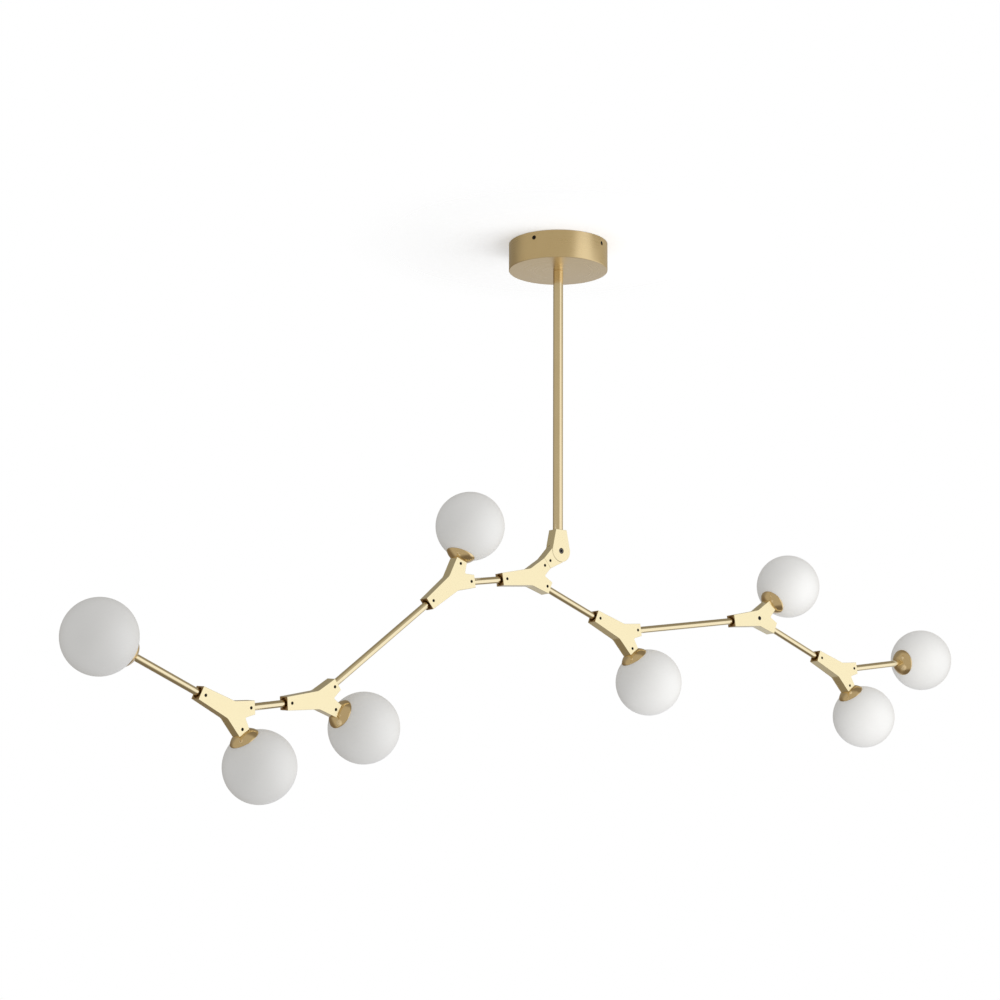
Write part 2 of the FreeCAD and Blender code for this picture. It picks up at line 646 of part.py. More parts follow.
def make_bulb():
    """The capsule bulb: a flat base in the lampholder, and a round glass body."""
    base_start = -CUP_FLOOR + HOLDER_LENGTH - BULB_BASE_DEPTH
    base_end = base_start + BULB_BASE_LENGTH
    half_width = BULB_BASE_WIDTH / 2
    half_thickness = BULB_BASE_THICKNESS / 2
    radius = BULB_DIAMETER / 2
    tip = base_end + BULB_LENGTH - radius
    base = box((base_start, base_end + radius), (-half_width, half_width), (-half_thickness, half_thickness))
    return fused([base, bar(radius, base_end, tip), Part.makeSphere(radius, Vector(tip, 0, 0))])


# ---- where the forks and lamps are ----

def upright_frame(x, z, slope):
    """A frame in the branch's plane, whose +X slopes up by an angle and whose +Z faces the viewer."""
    slope = math.radians(slope)
    along = Vector(math.cos(slope), 0, math.sin(slope))
    return Placement(Vector(x, 0, z), Rotation(along, Vector(), Vector(0, -1, 0), "XZY"))


def step(forward=0.0, turn=0.0, swing=0.0):
    """A move along X, then a turn about X, then a swing about Z."""
    return Placement(Vector(forward, 0, 0), Rotation(X_AXIS, turn).multiply(Rotation(Z_AXIS, swing)))


def arm_frame(fork, side, reach):
    """A frame on one of a fork's arms, with +X along the arm."""
    return fork.multiply(step(swing=side * ARM_ANGLE)).multiply(step(forward=reach))


def fork_on_arm(fork, side, free_length, turn):
    """The frame of a fork whose stem is on a link from another fork's arm."""
    return arm_frame(fork, side, ARM_LENGTH + free_length + STEM_LENGTH).multiply(step(turn=turn))


def fork_on_stem(fork, own_side, free_length, turn):
    """The frame of a fork, one of whose own arms holds a link to another fork's stem."""
    span = ARM_LENGTH + free_length + STEM_LENGTH
    return fork.multiply(step(forward=-span, turn=turn, swing=-own_side * ARM_ANGLE))


def fork_frames():
    """Every fork's frame, walked out from the hinge."""
    slope = CENTRE_SLOPE + ARM_ANGLE
    reach = HINGE_LOWER_REACH + ARM_LENGTH
    centre = upright_frame(-reach * math.cos(math.radians(slope)),
                           PIVOT_HEIGHT - reach * math.sin(math.radians(slope)), CENTRE_SLOPE)
    frames = {"centre": centre}
    frames["left_inner"] = fork_on_stem(centre, LOWER, LEFT_INNER_TUBE, LEFT_INNER_TURN)
    frames["left_middle"] = fork_on_stem(frames["left_inner"], UPPER, LEFT_MIDDLE_TUBE, LEFT_MIDDLE_TURN)
    frames["left_outer"] = fork_on_stem(frames["left_middle"], UPPER, LEFT_OUTER_TUBE, LEFT_OUTER_TURN)
    frames["right_inner"] = fork_on_arm(centre, LOWER, RIGHT_INNER_TUBE, RIGHT_INNER_TURN)
    frames["right_middle"] = fork_on_arm(frames["right_inner"], UPPER, RIGHT_MIDDLE_TUBE, RIGHT_MIDDLE_TURN)
    frames["right_outer"] = fork_on_arm(frames["right_middle"], UPPER, RIGHT_OUTER_TUBE, RIGHT_OUTER_TURN)
    return frames


def fork_tubes():
    """The tubes that each fork holds, in its own frame."""
    return {"centre": [hinge_tube(), link_tube(LOWER, RIGHT_INNER_TUBE)],
            "left_inner": [link_tube(LOWER, LEFT_INNER_TUBE), arm_lamp_tube(UPPER, 0.0)],
            "left_middle": [link_tube(UPPER, LEFT_MIDDLE_TUBE), arm_lamp_tube(LOWER, 0.0)],
            "left_outer": [link_tube(UPPER, LEFT_OUTER_TUBE), arm_lamp_tube(LOWER, 0.0),
                           stem_lamp_tube(LEFT_LAMP_TUBE)],
            "right_inner": [link_tube(UPPER, RIGHT_MIDDLE_TUBE), arm_lamp_tube(LOWER, 0.0)],
            "right_middle": [link_tube(UPPER, RIGHT_OUTER_TUBE), arm_lamp_tube(LOWER, 0.0)],
            "right_outer": [arm_lamp_tube(UPPER, RIGHT_LAMP_TUBE), arm_lamp_tube(LOWER, 0.0)]}


def lamp_frames(frames):
    """The frames of each fork's lamps, at the globes' centres."""
    on_arm = ARM_LENGTH + CUP_BACK
    left_end = frames["left_outer"].multiply(step(swing=180)).multiply(
        step(forward=STEM_LENGTH + LEFT_LAMP_TUBE + CUP_BACK))
    return {"left_inner": [arm_frame(frames["left_inner"], UPPER, on_arm)],
            "left_middle": [arm_frame(frames["left_middle"], LOWER, on_arm)],
            "left_outer": [arm_frame(frames["left_outer"], LOWER, on_arm), left_end],
            "right_inner": [arm_frame(frames["right_inner"], LOWER, on_arm)],
            "right_middle": [arm_frame(frames["right_middle"], LOWER, on_arm)],
            "right_outer": [arm_frame(frames["right_outer"], LOWER, on_arm),
                            arm_frame(frames["right_outer"], UPPER, on_arm + RIGHT_LAMP_TUBE)]}


# ---- the nodes ----

def ceiling_nodes():
    """The pieces that stay still: the ceiling fitting, the rod and the upper hinge member."""
    hinge_frame = upright_frame(0.0, PIVOT_HEIGHT, 90.0)
    return {"ceiling_bracket": make_ceiling_bracket(), "canopy": make_canopy(),
            "ceiling_fasteners": make_ceiling_fasteners(), "terminal_block": make_terminal_block(),
            "down_rod": make_down_rod(), "hinge_upper": placed(make_hinge_upper(), hinge_frame),
            "pivot_screw": placed(make_pivot_screw(), hinge_frame)}


def fork_nodes(frames):
    """Each fork with its cover, screws and tubes, and the hinge member and its screw on the centre fork."""
    fork = make_fork()
    cover = make_cover()
    screws = make_fork_screws()
    lower_frame = upright_frame(0.0, PIVOT_HEIGHT, CENTRE_SLOPE + ARM_ANGLE + 180.0)
    nodes = {"hinge_lower": placed(make_hinge_lower(), lower_frame)}
    for name, tubes in fork_tubes().items():
        frame = frames[name]
        group = [placed(screw, frame) for screw in screws]
        if name == "centre":
            group.append(placed(make_set_screw(HINGE_SCREW_REACH, TUBE_RADIUS + TIP_GAP), lower_frame))
        nodes[name + "_fork"] = placed(fork, frame)
        nodes[name + "_cover"] = placed(cover, frame)
        nodes[name + "_screws"] = Part.makeCompound(group)
        nodes[name + "_tubes"] = Part.makeCompound([placed(tube, frame) for tube in tubes])
    return nodes


def lamp_nodes(frames):
    """Each branch's cups, lampholders, bulbs and globes; a branch's two lamps share these nodes."""
    pieces = {"cup": make_cup(), "lampholder": make_lampholder(), "bulb": make_bulb(), "globe": make_globe()}
    nodes = {}
    for name, places in lamp_frames(frames).items():
        for piece, shape in pieces.items():
            copies = [placed(shape, place) for place in places]
            plural = "s" if len(copies) > 1 else ""
            nodes[name + "_" + piece + plural] = Part.makeCompound(copies) if plural else copies[0]
    return nodes


def make_nodes():
    """Every node of the chandelier, by name."""
    frames = fork_frames()
    nodes = ceiling_nodes()
    nodes.update(fork_nodes(frames))
    nodes.update(lamp_nodes(frames))
    return nodes


def main():
    """Write one STEP file for each node, and say how many solids it has and whether they are valid."""
    os.makedirs("parts", exist_ok=True)
    for name, shape in make_nodes().items():
        shape.exportStep(os.path.join("parts", name + ".step"))
        state = "valid" if shape.isValid() else "NOT VALID"
        print(name, len(shape.Solids), "solids", round(shape.Volume), "mm3", state)


main()
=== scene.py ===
"""Branch chandelier: its looks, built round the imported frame.

Each piece made here is turned, cut or drilled on a small bench (Stock) in a frame of its own, given its
finishes, and then set where the frame has it. The hidden nodes stay as they were packed, and only get a
finish. All sizes are in metres.

A fork's own frame has its origin where the three members meet, +X from the stem to the crotch, +Y across
the fork and +Z out of the face that holds the set screws. A turned piece's own frame has its axis on X.
"""

from __future__ import annotations

import json
import logging
import math
from dataclasses import dataclass
from enum import Enum
from typing import Callable, Iterable, Sequence, Union

import bmesh
import bpy
from mathutils import Matrix, Vector

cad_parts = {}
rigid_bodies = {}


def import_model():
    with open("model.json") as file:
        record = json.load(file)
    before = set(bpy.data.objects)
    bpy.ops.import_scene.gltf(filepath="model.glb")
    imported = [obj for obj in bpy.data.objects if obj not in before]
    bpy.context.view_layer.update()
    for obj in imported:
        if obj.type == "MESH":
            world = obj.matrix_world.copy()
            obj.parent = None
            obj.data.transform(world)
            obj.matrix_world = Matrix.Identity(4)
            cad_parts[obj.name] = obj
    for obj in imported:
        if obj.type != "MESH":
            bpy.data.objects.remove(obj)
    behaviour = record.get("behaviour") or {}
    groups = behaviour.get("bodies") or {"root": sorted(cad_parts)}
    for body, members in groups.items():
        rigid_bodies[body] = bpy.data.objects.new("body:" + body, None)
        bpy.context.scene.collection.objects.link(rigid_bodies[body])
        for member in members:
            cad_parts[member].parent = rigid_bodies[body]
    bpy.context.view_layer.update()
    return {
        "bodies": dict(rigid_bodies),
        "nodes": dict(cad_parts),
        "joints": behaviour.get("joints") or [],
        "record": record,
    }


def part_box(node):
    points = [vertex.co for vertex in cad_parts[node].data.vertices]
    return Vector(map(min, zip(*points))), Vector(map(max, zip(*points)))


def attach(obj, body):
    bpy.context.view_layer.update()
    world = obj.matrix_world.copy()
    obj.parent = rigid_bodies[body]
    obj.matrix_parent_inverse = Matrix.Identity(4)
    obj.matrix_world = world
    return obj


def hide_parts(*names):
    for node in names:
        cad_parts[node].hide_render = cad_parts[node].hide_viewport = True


LOG = logging.getLogger("chandelier")

MM = 0.001
# The attribute that keeps each point's place in its piece's own frame.
OWN_PLACE = "own_place"
# Edges that turn by more than this are broken, and stay sharp in the shading.
SMOOTH_ANGLE = math.radians(35.0)
# Points nearer to each other than this are welded.
WELD = 1e-6
# How many sides a bore has.
BORE_SIDES = 48
# How many sides a set screw has, and its hole.
SCREW_SIDES = 28
# How deep the fine relief of a finish is.
SKIN_DEPTH = 0.05 * MM
# How many times longer than wide a brush mark is.
GRAIN_STRETCH = 60.0
WHITE = (1.0, 1.0, 1.0, 1.0)

# A Point is (x, y) or (along the axis, radius). A Spot is a place or a direction in the object's frame.
Colour = tuple[float, float, float]
Spot = tuple[float, float, float]
Point = tuple[float, float]


# ---- frames and outlines ----

def along_x(distance: float) -> Matrix:
    """A move along X."""
    return Matrix.Translation((distance, 0.0, 0.0))


def along_z(distance: float) -> Matrix:
    """A move along Z."""
    return Matrix.Translation((0.0, 0.0, distance))


def turn(axis: str, degrees: float) -> Matrix:
    """A turn about one of the frame's axes."""
    return Matrix.Rotation(math.radians(degrees), 4, axis)


def upright(x: float, z: float, slope: float) -> Matrix:
    """A frame in the branch's plane.

    Args:
        x: Where it is along the branch.
        z: Its height; the ceiling is at 0.
        slope: How much its +X rises, in degrees.

    Returns:
        The frame, whose +Z faces the viewer (-Y).
    """
    return Matrix.Translation((x, 0.0, z)) @ turn("X", 90.0) @ turn("Z", slope)


UP = turn("Y", -90.0)
DOWN = turn("Y", 90.0)


def arc(centre: Point, radius: float, start: float, end: float, steps: int) -> list[Point]:
    """Points on an arc.

    Args:
        centre: The arc's centre.
        radius: The arc's radius.
        start: The first angle, in degrees.
        end: The last angle, in degrees.
        steps: How many spans the arc has.

    Returns:
        The points from start to end, both ends included.
    """
    angles = [math.radians(start + (end - start) * k / steps) for k in range(steps + 1)]
    return [(centre[0] + radius * math.cos(a), centre[1] + radius * math.sin(a)) for a in angles]


def rounded(before: Point, corner: Point, after: Point, radius: float, steps: int) -> list[Point]:
    """A corner of an outline, drawn as an arc that touches both of its sides.

    Args:
        before: The outline's point before the corner.
        corner: The corner.
        after: The outline's point after the corner.
        radius: The arc's radius.
        steps: How many spans the arc has.

    Returns:
        The arc's points, from the first side to the second.
    """
    here = Vector(corner)
    back = (Vector(before) - here).normalized()
    on = (Vector(after) - here).normalized()
    half = back.angle(on) / 2
    middle = here + (back + on).normalized() * (radius / math.sin(half))
    first = here + back * (radius / math.tan(half)) - middle
    sweep = first.angle_signed(here + on * (radius / math.tan(half)) - middle)
    points = []
    for k in range(steps + 1):
        points.append(tuple(middle + Matrix.Rotation(-sweep * k / steps, 2) @ first))
    return points


def thread(start: float, end: float, radius: float, pitch: float, depth: float) -> list[Point]:
    """A threaded stretch of a turned profile, as crests and roots.

    Args:
        start: Where the thread starts along the axis.
        end: Where it ends.
        radius: The crests' radius.
        pitch: From one crest to the next.
        depth: From a crest down to a root.

    Returns:
        The profile's points.
    """
    count = int((end - start) / pitch)
    points = []
    for k in range(count):
        points.append((start + k * pitch, radius - depth))
        points.append((start + (k + 0.5) * pitch, radius))
    points.append((end, radius - depth))
    return points


# ---- the bench ----

def put_in_scene(name: str, data: bpy.types.ID) -> bpy.types.Object:
    """Put an object that shows this data in the scene."""
    made = bpy.data.objects.new(name, data)
    bpy.context.scene.collection.objects.link(made)
    return made


class Stock:
    """A piece on the bench: one bmesh, in the piece's own frame."""

    def __init__(self) -> None:
        """Start with nothing on the bench."""
        self.mesh = bmesh.new()

    @classmethod
    def lathe(cls, profile: Sequence[Point], segments: int, closed: bool = True) -> Stock:
        """Turn a profile about X.

        Args:
            profile: Points as (along the axis, radius).
            segments: How many sides a full turn has.
            closed: True for a ring, False where both ends of the profile are on the axis.

        Returns:
            The turned piece.
        """
        stock = cls()
        points = [stock.mesh.verts.new((x, radius, 0.0)) for x, radius in profile]
        ends = points[1:] + points[:1] if closed else points[1:]
        edges = [stock.mesh.edges.new(pair) for pair in zip(points, ends)]
        bmesh.ops.spin(stock.mesh, geom=points + edges, cent=(0.0, 0.0, 0.0), axis=(1.0, 0.0, 0.0),
                       angle=math.tau, steps=segments, use_merge=True)
        return stock.cleaned()

    @classmethod
    def plate(cls, outline: Sequence[Point], bottom: float, top: float) -> Stock:
        """Cut a flat plate.

        Args:
            outline: The plate's corners as (x, y).
            bottom: The height of its lower face.
            top: The height of its upper face.

        Returns:
            The plate.
        """
        stock = cls()
        face = stock.mesh.faces.new([stock.mesh.verts.new((x, y, bottom)) for x, y in outline])
        grown = bmesh.ops.extrude_face_region(stock.mesh, geom=[face])["geom"]
        upper = [item for item in grown if isinstance(item, bmesh.types.BMVert)]
        bmesh.ops.translate(stock.mesh, verts=upper, vec=(0.0, 0.0, top - bottom))
        return stock.cleaned()

    @classmethod
    def prism(cls, sides: int, radius: float, start: float, end: float) -> Stock:
        """Cut a bar along X.

        Args:
            sides: How many sides it has.
            radius: From its axis to a corner.
            start: Where it starts along X.
            end: Where it ends.

        Returns:
            The bar.
        """
        stock = cls()
        bmesh.ops.create_cone(stock.mesh, cap_ends=True, segments=sides, radius1=radius, radius2=radius,
                              depth=end - start, matrix=along_x((start + end) / 2) @ DOWN)
        return stock.cleaned()

    def cleaned(self) -> Stock:
        """Weld what meets, and turn the faces outwards."""
        bmesh.ops.remove_doubles(self.mesh, verts=self.mesh.verts, dist=WELD)
        bmesh.ops.recalc_face_normals(self.mesh, faces=self.mesh.faces)
        return self

    def chamfer(self, width: float, chosen: Callable[[bmesh.types.BMEdge], bool] | None = None) -> Stock:
        """Break the sharp edges.

        Args:
            width: The chamfer's width.
            chosen: Which of the sharp edges; all of them if left out.

        Returns:
            The same piece.
        """
        sharp = [e for e in self.mesh.edges if e.is_manifold and e.calc_face_angle() > SMOOTH_ANGLE]
        if chosen is not None:
            sharp = [e for e in sharp if chosen(e)]
        bmesh.ops.bevel(self.mesh, geom=sharp, offset=width, offset_type="OFFSET", affect="EDGES",
                        segments=1, profile=0.5, material=-1, clamp_overlap=True)
        return self

    def cut(self, *tools: Stock) -> Stock:
        """Cut other shapes out of this one.

        Args:
            tools: The shapes, in this piece's own frame.

        Returns:
            The same piece.
        """
        work = self.as_object("work")
        cutters = [tool.as_object("tool") for tool in tools]
        for cutter in cutters:
            step = work.modifiers.new("cut", "BOOLEAN")
            step.object = cutter
            step.operation = "DIFFERENCE"
            step.solver = "EXACT"
        bpy.context.view_layer.update()
        done = work.evaluated_get(bpy.context.evaluated_depsgraph_get())
        self.mesh.clear()
        self.mesh.from_mesh(done.to_mesh())
        done.to_mesh_clear()
        for used in [work, *cutters]:
            data = used.data
            bpy.data.objects.remove(used)
            bpy.data.meshes.remove(data)
        bmesh.ops.remove_doubles(self.mesh, verts=self.mesh.verts, dist=WELD)
        return self

    def as_object(self, name: str) -> bpy.types.Object:
        """Put a copy of the piece in the scene, and give its object."""
        data = bpy.data.meshes.new(name)
        self.mesh.to_mesh(data)
        return put_in_scene(name, data)

    def paint(self, index: int, chosen: Callable[[bmesh.types.BMFace], bool]) -> Stock:
        """Give chosen faces the finish with that number in the piece's list.

        Args:
            index: The number of the finish.
            chosen: Which faces it is for.

        Returns:
            The same piece.
        """
        self.mesh.normal_update()
        for face in self.mesh.faces:
            if chosen(face):
                face.material_index = index
        return self

    def settled(self) -> Stock:
        """Write each point's place in the piece's own frame, for finishes that follow the piece.

        Returns:
            The same piece.
        """
        layer = self.mesh.verts.layers.float_vector.new(OWN_PLACE)
        for vertex in self.mesh.verts:
            vertex[layer] = vertex.co
        return self

    def placed(self, frame: Matrix) -> Stock:
        """A copy of the piece, set in a frame.

        Args:
            frame: Where the copy goes.

        Returns:
            The copy.
        """
        made = Stock()
        made.mesh.free()
        made.mesh = self.mesh.copy()
        bmesh.ops.transform(made.mesh, matrix=frame, verts=made.mesh.verts)
        return made


def joined(parts: Iterable[Stock]) -> Stock:
    """Several pieces as one, each left as it is.

    Args:
        parts: The pieces, each in the same frame.

    Returns:
        One piece that holds them all.
    """
    whole = Stock()
    for part in parts:
        data = bpy.data.meshes.new("part")
        part.mesh.to_mesh(data)
        whole.mesh.from_mesh(data)
        bpy.data.meshes.remove(data)
    return whole


# ---- shader nodes ----

class Wire:
    """A shader node's output, on which arithmetic adds Math nodes."""

    def __init__(self, graph: Graph, socket: bpy.types.NodeSocket) -> None:
        """Keep the output and the graph that it is in."""
        self.graph = graph
        self.socket = socket

    def _math(self, operation: str, first: Number, second: Number) -> Wire:
        """Add a Math node."""
        return self.graph.wire("ShaderNodeMath", {"operation": operation}, {0: first, 1: second})

    def __add__(self, other: Number) -> Wire:
        """This plus other."""
        return self._math("ADD", self, other)

    __radd__ = __add__

    def __sub__(self, other: Number) -> Wire:
        """This less other."""
        return self._math("SUBTRACT", self, other)

    def __rsub__(self, other: Number) -> Wire:
        """Other less this."""
        return self._math("SUBTRACT", other, self)

    def __mul__(self, other: Number) -> Wire:
        """This times other."""
        return self._math("MULTIPLY", self, other)

    __rmul__ = __mul__

    def clamped(self) -> Wire:
        """This, kept from 0 to 1."""
        return self.graph.wire("ShaderNodeClamp", {}, {0: self})


Number = Union[Wire, float]


class Graph:
    """A node tree, and the one way in which nodes are added to it."""

    def __init__(self, tree: bpy.types.NodeTree) -> None:
        """Empty the tree."""
        self.tree = tree
        self.tree.nodes.clear()

    def node(self, kind: str, settings: dict[str, object], sockets: dict[object, object]) -> bpy.types.Node:
        """Add a node.

        Args:
            kind: The node's type.
            settings: Its own settings, which are set first.
            sockets: The value or the Wire of each input, by the input's name or number.

        Returns:
            The node.
        """
        made = self.tree.nodes.new(kind)
        for name, value in settings.items():
            setattr(made, name, value)
        for name, value in sockets.items():
            if isinstance(value, Wire):
                self.tree.links.new(value.socket, made.inputs[name])
            else:
                made.inputs[name].default_value = value
        return made

    def wire(self, kind: str, settings: dict[str, object], sockets: dict[object, object],
             output: object = 0) -> Wire:
        """Add a node, and give one of its outputs."""
        return Wire(self, self.node(kind, settings, sockets).outputs[output])

    def vector(self, operation: str, sockets: dict[object, object], output: object = 0) -> Wire:
        """Add a Vector Math node; the output is "Value" where it works out a number."""
        return self.wire("ShaderNodeVectorMath", {"operation": operation}, sockets, output)

    def scaled(self, vector: Wire, factors: Sequence[float]) -> Wire:
        """A vector times three factors."""
        return self.vector("MULTIPLY", {0: vector, 1: tuple(factors)})

    def noise(self, vector: Wire, detail: float) -> Wire:
        """Cloudy noise from 0 to 1, one cloud for each unit of the vector."""
        return self.wire("ShaderNodeTexNoise", {"noise_dimensions": "3D"},
                         {"Vector": vector, "Scale": 1.0, "Detail": detail, "Roughness": 0.6})

    def clouds(self, here: Wire, per_metre: float) -> Wire:
        """Plain noise with so many clouds to the metre."""
        return self.noise(self.scaled(here, (per_metre,) * 3), 2.0)

    def blend(self, factor: Wire, first: Colour | Wire, second: Colour) -> Wire:
        """A colour between two."""
        start = first if isinstance(first, Wire) else (*first, 1.0)
        return self.wire("ShaderNodeMix", {"data_type": "RGBA"}, {0: factor, 6: start, 7: (*second, 1.0)}, 2)

    def eased(self, value: Wire, start: float, end: float, first: float, last: float) -> Wire:
        """What goes smoothly from first to last while a value goes from start to end."""
        return self.wire("ShaderNodeMapRange", {"interpolation_type": "SMOOTHSTEP"}, {
            "Value": value, "From Min": start, "From Max": end, "To Min": first, "To Max": last})

    def see_through(self, cover: Wire, shader: Wire) -> Wire:
        """A shader that covers what is behind it where cover is 1, and shows it where cover is 0."""
        clear = self.wire("ShaderNodeBsdfTransparent", {}, {})
        return self.wire("ShaderNodeMixShader", {}, {0: cover, 1: clear, 2: shader})

    def finish(self, shader: Wire) -> None:
        """Send a shader to the surface."""
        self.node("ShaderNodeOutputMaterial", {}, {"Surface": shader})


# ---- finishes ----

class Grain(Enum):
    """How the marks of a finish run in a piece's own frame."""

    STRAIGHT = "along the piece's X"
    RINGS = "round the piece's X"
    NONE = "no direction"


class Place(Enum):
    """What a finish is measured from."""

    OWN = "the piece's own frame"
    OBJECT = "the object's coordinates"


def new_material(name: str, build: Callable[[Graph], None]) -> bpy.types.Material:
    """A new material.

    Args:
        name: Its name.
        build: What fills its graph.

    Returns:
        The material.
    """
    material = bpy.data.materials.new(name)
    material.use_nodes = True
    build(Graph(material.node_tree))
    return material


def place_of(graph: Graph, place: Place) -> Wire:
    """The point being shaded, in metres, measured as the finish asks."""
    if place is Place.OWN:
        return graph.wire("ShaderNodeAttribute", {"attribute_name": OWN_PLACE}, {}, "Vector")
    return graph.wire("ShaderNodeTexCoord", {}, {}, "Object")


@dataclass(frozen=True)
class Finish:
    """What every finish has: a name, a lighter and a darker tone, and how rough it is."""

    name: str
    light: Colour
    dark: Colour
    roughness: float

    def build(self, graph: Graph) -> None:
        """Fill a material's graph; each kind of finish does it in its own way."""
        raise NotImplementedError

    def coat(self, graph: Graph, tone: Wire, unevenness: Wire, height: Wire, relief: float,
             more: dict[str, object]) -> None:
        """Send the finish's shader to the surface.

        Args:
            graph: The material's graph.
            tone: 0 where the finish is dark, and 1 where it is light.
            unevenness: What the roughness goes up and down by.
            height: The height of the fine relief, from 0 to 1.
            relief: How strong the relief is.
            more: The shader's other inputs.
        """
        skin = {"Height": height, "Strength": relief, "Distance": SKIN_DEPTH}
        graph.finish(graph.wire("ShaderNodeBsdfPrincipled", {}, {
            "Base Color": graph.blend(tone.clamped(), self.dark, self.light),
            "Roughness": (self.roughness + unevenness).clamped(),
            "Normal": graph.wire("ShaderNodeBump", {}, skin),
            **more}))


@dataclass(frozen=True)
class Metal(Finish):
    """A metal with fine marks from its brush, file or mill, and a slow change of tone."""

    grain: Grain
    marks: float = 1400.0
    clouds: float = 28.0
    contrast: float = 0.9
    cloud_contrast: float = 0.9
    mark_roughness: float = 0.16
    cloud_roughness: float = 0.12
    relief: float = 0.12
    metallic: float = 1.0
    place: Place = Place.OWN

    def marks_at(self, graph: Graph, here: Wire) -> Wire:
        """The vector for the marks' noise, stretched the way that the marks run.

        Args:
            graph: The material's graph.
            here: The point being shaded, in metres.

        Returns:
            The vector, one cloud of noise for each unit.
        """
        if self.grain is Grain.NONE:
            return graph.scaled(here, (self.marks,) * 3)
        if self.grain is Grain.STRAIGHT:
            return graph.scaled(here, (self.marks / GRAIN_STRETCH, self.marks, self.marks))
        radius = graph.vector("LENGTH", {0: graph.scaled(here, (0.0, 1.0, 1.0))}, "Value")
        parts = graph.node("ShaderNodeSeparateXYZ", {}, {0: here})
        along, side, depth = (Wire(graph, output) for output in parts.outputs)
        round_it = (side + depth) * (self.marks / GRAIN_STRETCH)
        return graph.wire("ShaderNodeCombineXYZ", {},
                          {0: along * self.marks, 1: radius * self.marks, 2: round_it})

    def build(self, graph: Graph) -> None:
        """Fill a material's graph.

        Args:
            graph: The material's graph.
        """
        here = place_of(graph, self.place)
        marks = graph.noise(self.marks_at(graph, here), 3.0)
        clouds = graph.clouds(here, self.clouds)
        tone = 0.5 + (marks - 0.5) * self.contrast + (clouds - 0.5) * self.cloud_contrast
        unevenness = (marks - 0.5) * self.mark_roughness + (clouds - 0.5) * self.cloud_roughness
        self.coat(graph, tone, unevenness, marks, self.relief, {"Metallic": self.metallic})


@dataclass(frozen=True)
class Glaze(Finish):
    """Glass or fired ceramic, with a faint unevenness in its tone and its skin."""

    clouds: float
    skin: float
    relief: float
    transmission: float = 0.0
    place: Place = Place.OWN
    skin_roughness: float = 0.1

    def build(self, graph: Graph) -> None:
        """Fill a material's graph.

        Args:
            graph: The material's graph.
        """
        here = place_of(graph, self.place)
        skin = graph.clouds(here, self.skin)
        self.coat(graph, graph.clouds(here, self.clouds), (skin - 0.5) * self.skin_roughness, skin,
                  self.relief, {"Transmission Weight": self.transmission})


FORK_BRASS = Metal("satin_brass_fork", (0.99, 0.88, 0.58), (0.95, 0.83, 0.53), 0.20, Grain.STRAIGHT,
                   contrast=0.5, relief=0.05)
# Painted shade: the stem's end face and the inside of its mouth and bore get this dark brown brass. It stands
# in for the shade that falls there and for the dark that they reflect.
SHADED_END_BRASS = Metal("painted_shade_brass_end", (0.52, 0.36, 0.17), (0.36, 0.23, 0.10), 0.36, Grain.NONE, relief=0.08)
TUBE_BRASS = Metal("brushed_brass_tube", (0.96, 0.85, 0.59), (0.90, 0.77, 0.50), 0.14, Grain.STRAIGHT,
                   contrast=0.6, relief=0.05)
ROD_BRASS = Metal("brushed_brass_rod", (0.92, 0.78, 0.51), (0.86, 0.71, 0.45), 0.15, Grain.STRAIGHT,
                  contrast=0.6, relief=0.05)
CANOPY_BRASS = Metal("brushed_brass_canopy", (0.87, 0.69, 0.40), (0.80, 0.62, 0.34), 0.30, Grain.RINGS,
                     marks=700.0, contrast=0.6, relief=0.05)
HOLE_BRASS = Metal("shaded_brass_hole", (0.060, 0.042, 0.022), (0.030, 0.021, 0.012), 0.5, Grain.NONE,
                   relief=0.05)
CUP_BRASS = Metal("polished_brass_cup", (0.90, 0.71, 0.42), (0.80, 0.61, 0.34), 0.13, Grain.RINGS,
                  contrast=0.6, relief=0.04)
BLACK_STEEL = Metal("black_steel", (0.030, 0.028, 0.026), (0.014, 0.013, 0.012), 0.45, Grain.NONE,
                    metallic=0.6)
GREY_STEEL = Metal("grey_steel", (0.20, 0.195, 0.19), (0.11, 0.105, 0.10), 0.34, Grain.RINGS)
ZINC = Metal("zinc_steel", (0.62, 0.63, 0.65), (0.46, 0.47, 0.49), 0.40, Grain.NONE, marks=260.0,
             place=Place.OBJECT)
OPAL = Glaze("opal_glass", (0.90, 0.895, 0.88), (0.86, 0.855, 0.84), 0.42, clouds=18.0, skin=900.0,
             relief=0.05)
CERAMIC = Glaze("ceramic", (0.86, 0.83, 0.77), (0.78, 0.75, 0.69), 0.6, clouds=1500.0, skin=1500.0,
                relief=0.1, place=Place.OBJECT)
BULB_GLASS = Glaze("clear_glass", (0.97, 0.97, 0.97), (0.94, 0.94, 0.94), 0.06, clouds=1500.0,
                   skin=1500.0, relief=0.1, transmission=1.0, place=Place.OBJECT)


class Rack:
    """The finishes in use, each made once."""

    def __init__(self) -> None:
        """Start empty."""
        self.made: dict[str, bpy.types.Material] = {}

    def get(self, finish: Finish) -> bpy.types.Material:
        """The finish's material."""
        if finish.name not in self.made:
            self.made[finish.name] = new_material(finish.name, finish.build)
        return self.made[finish.name]


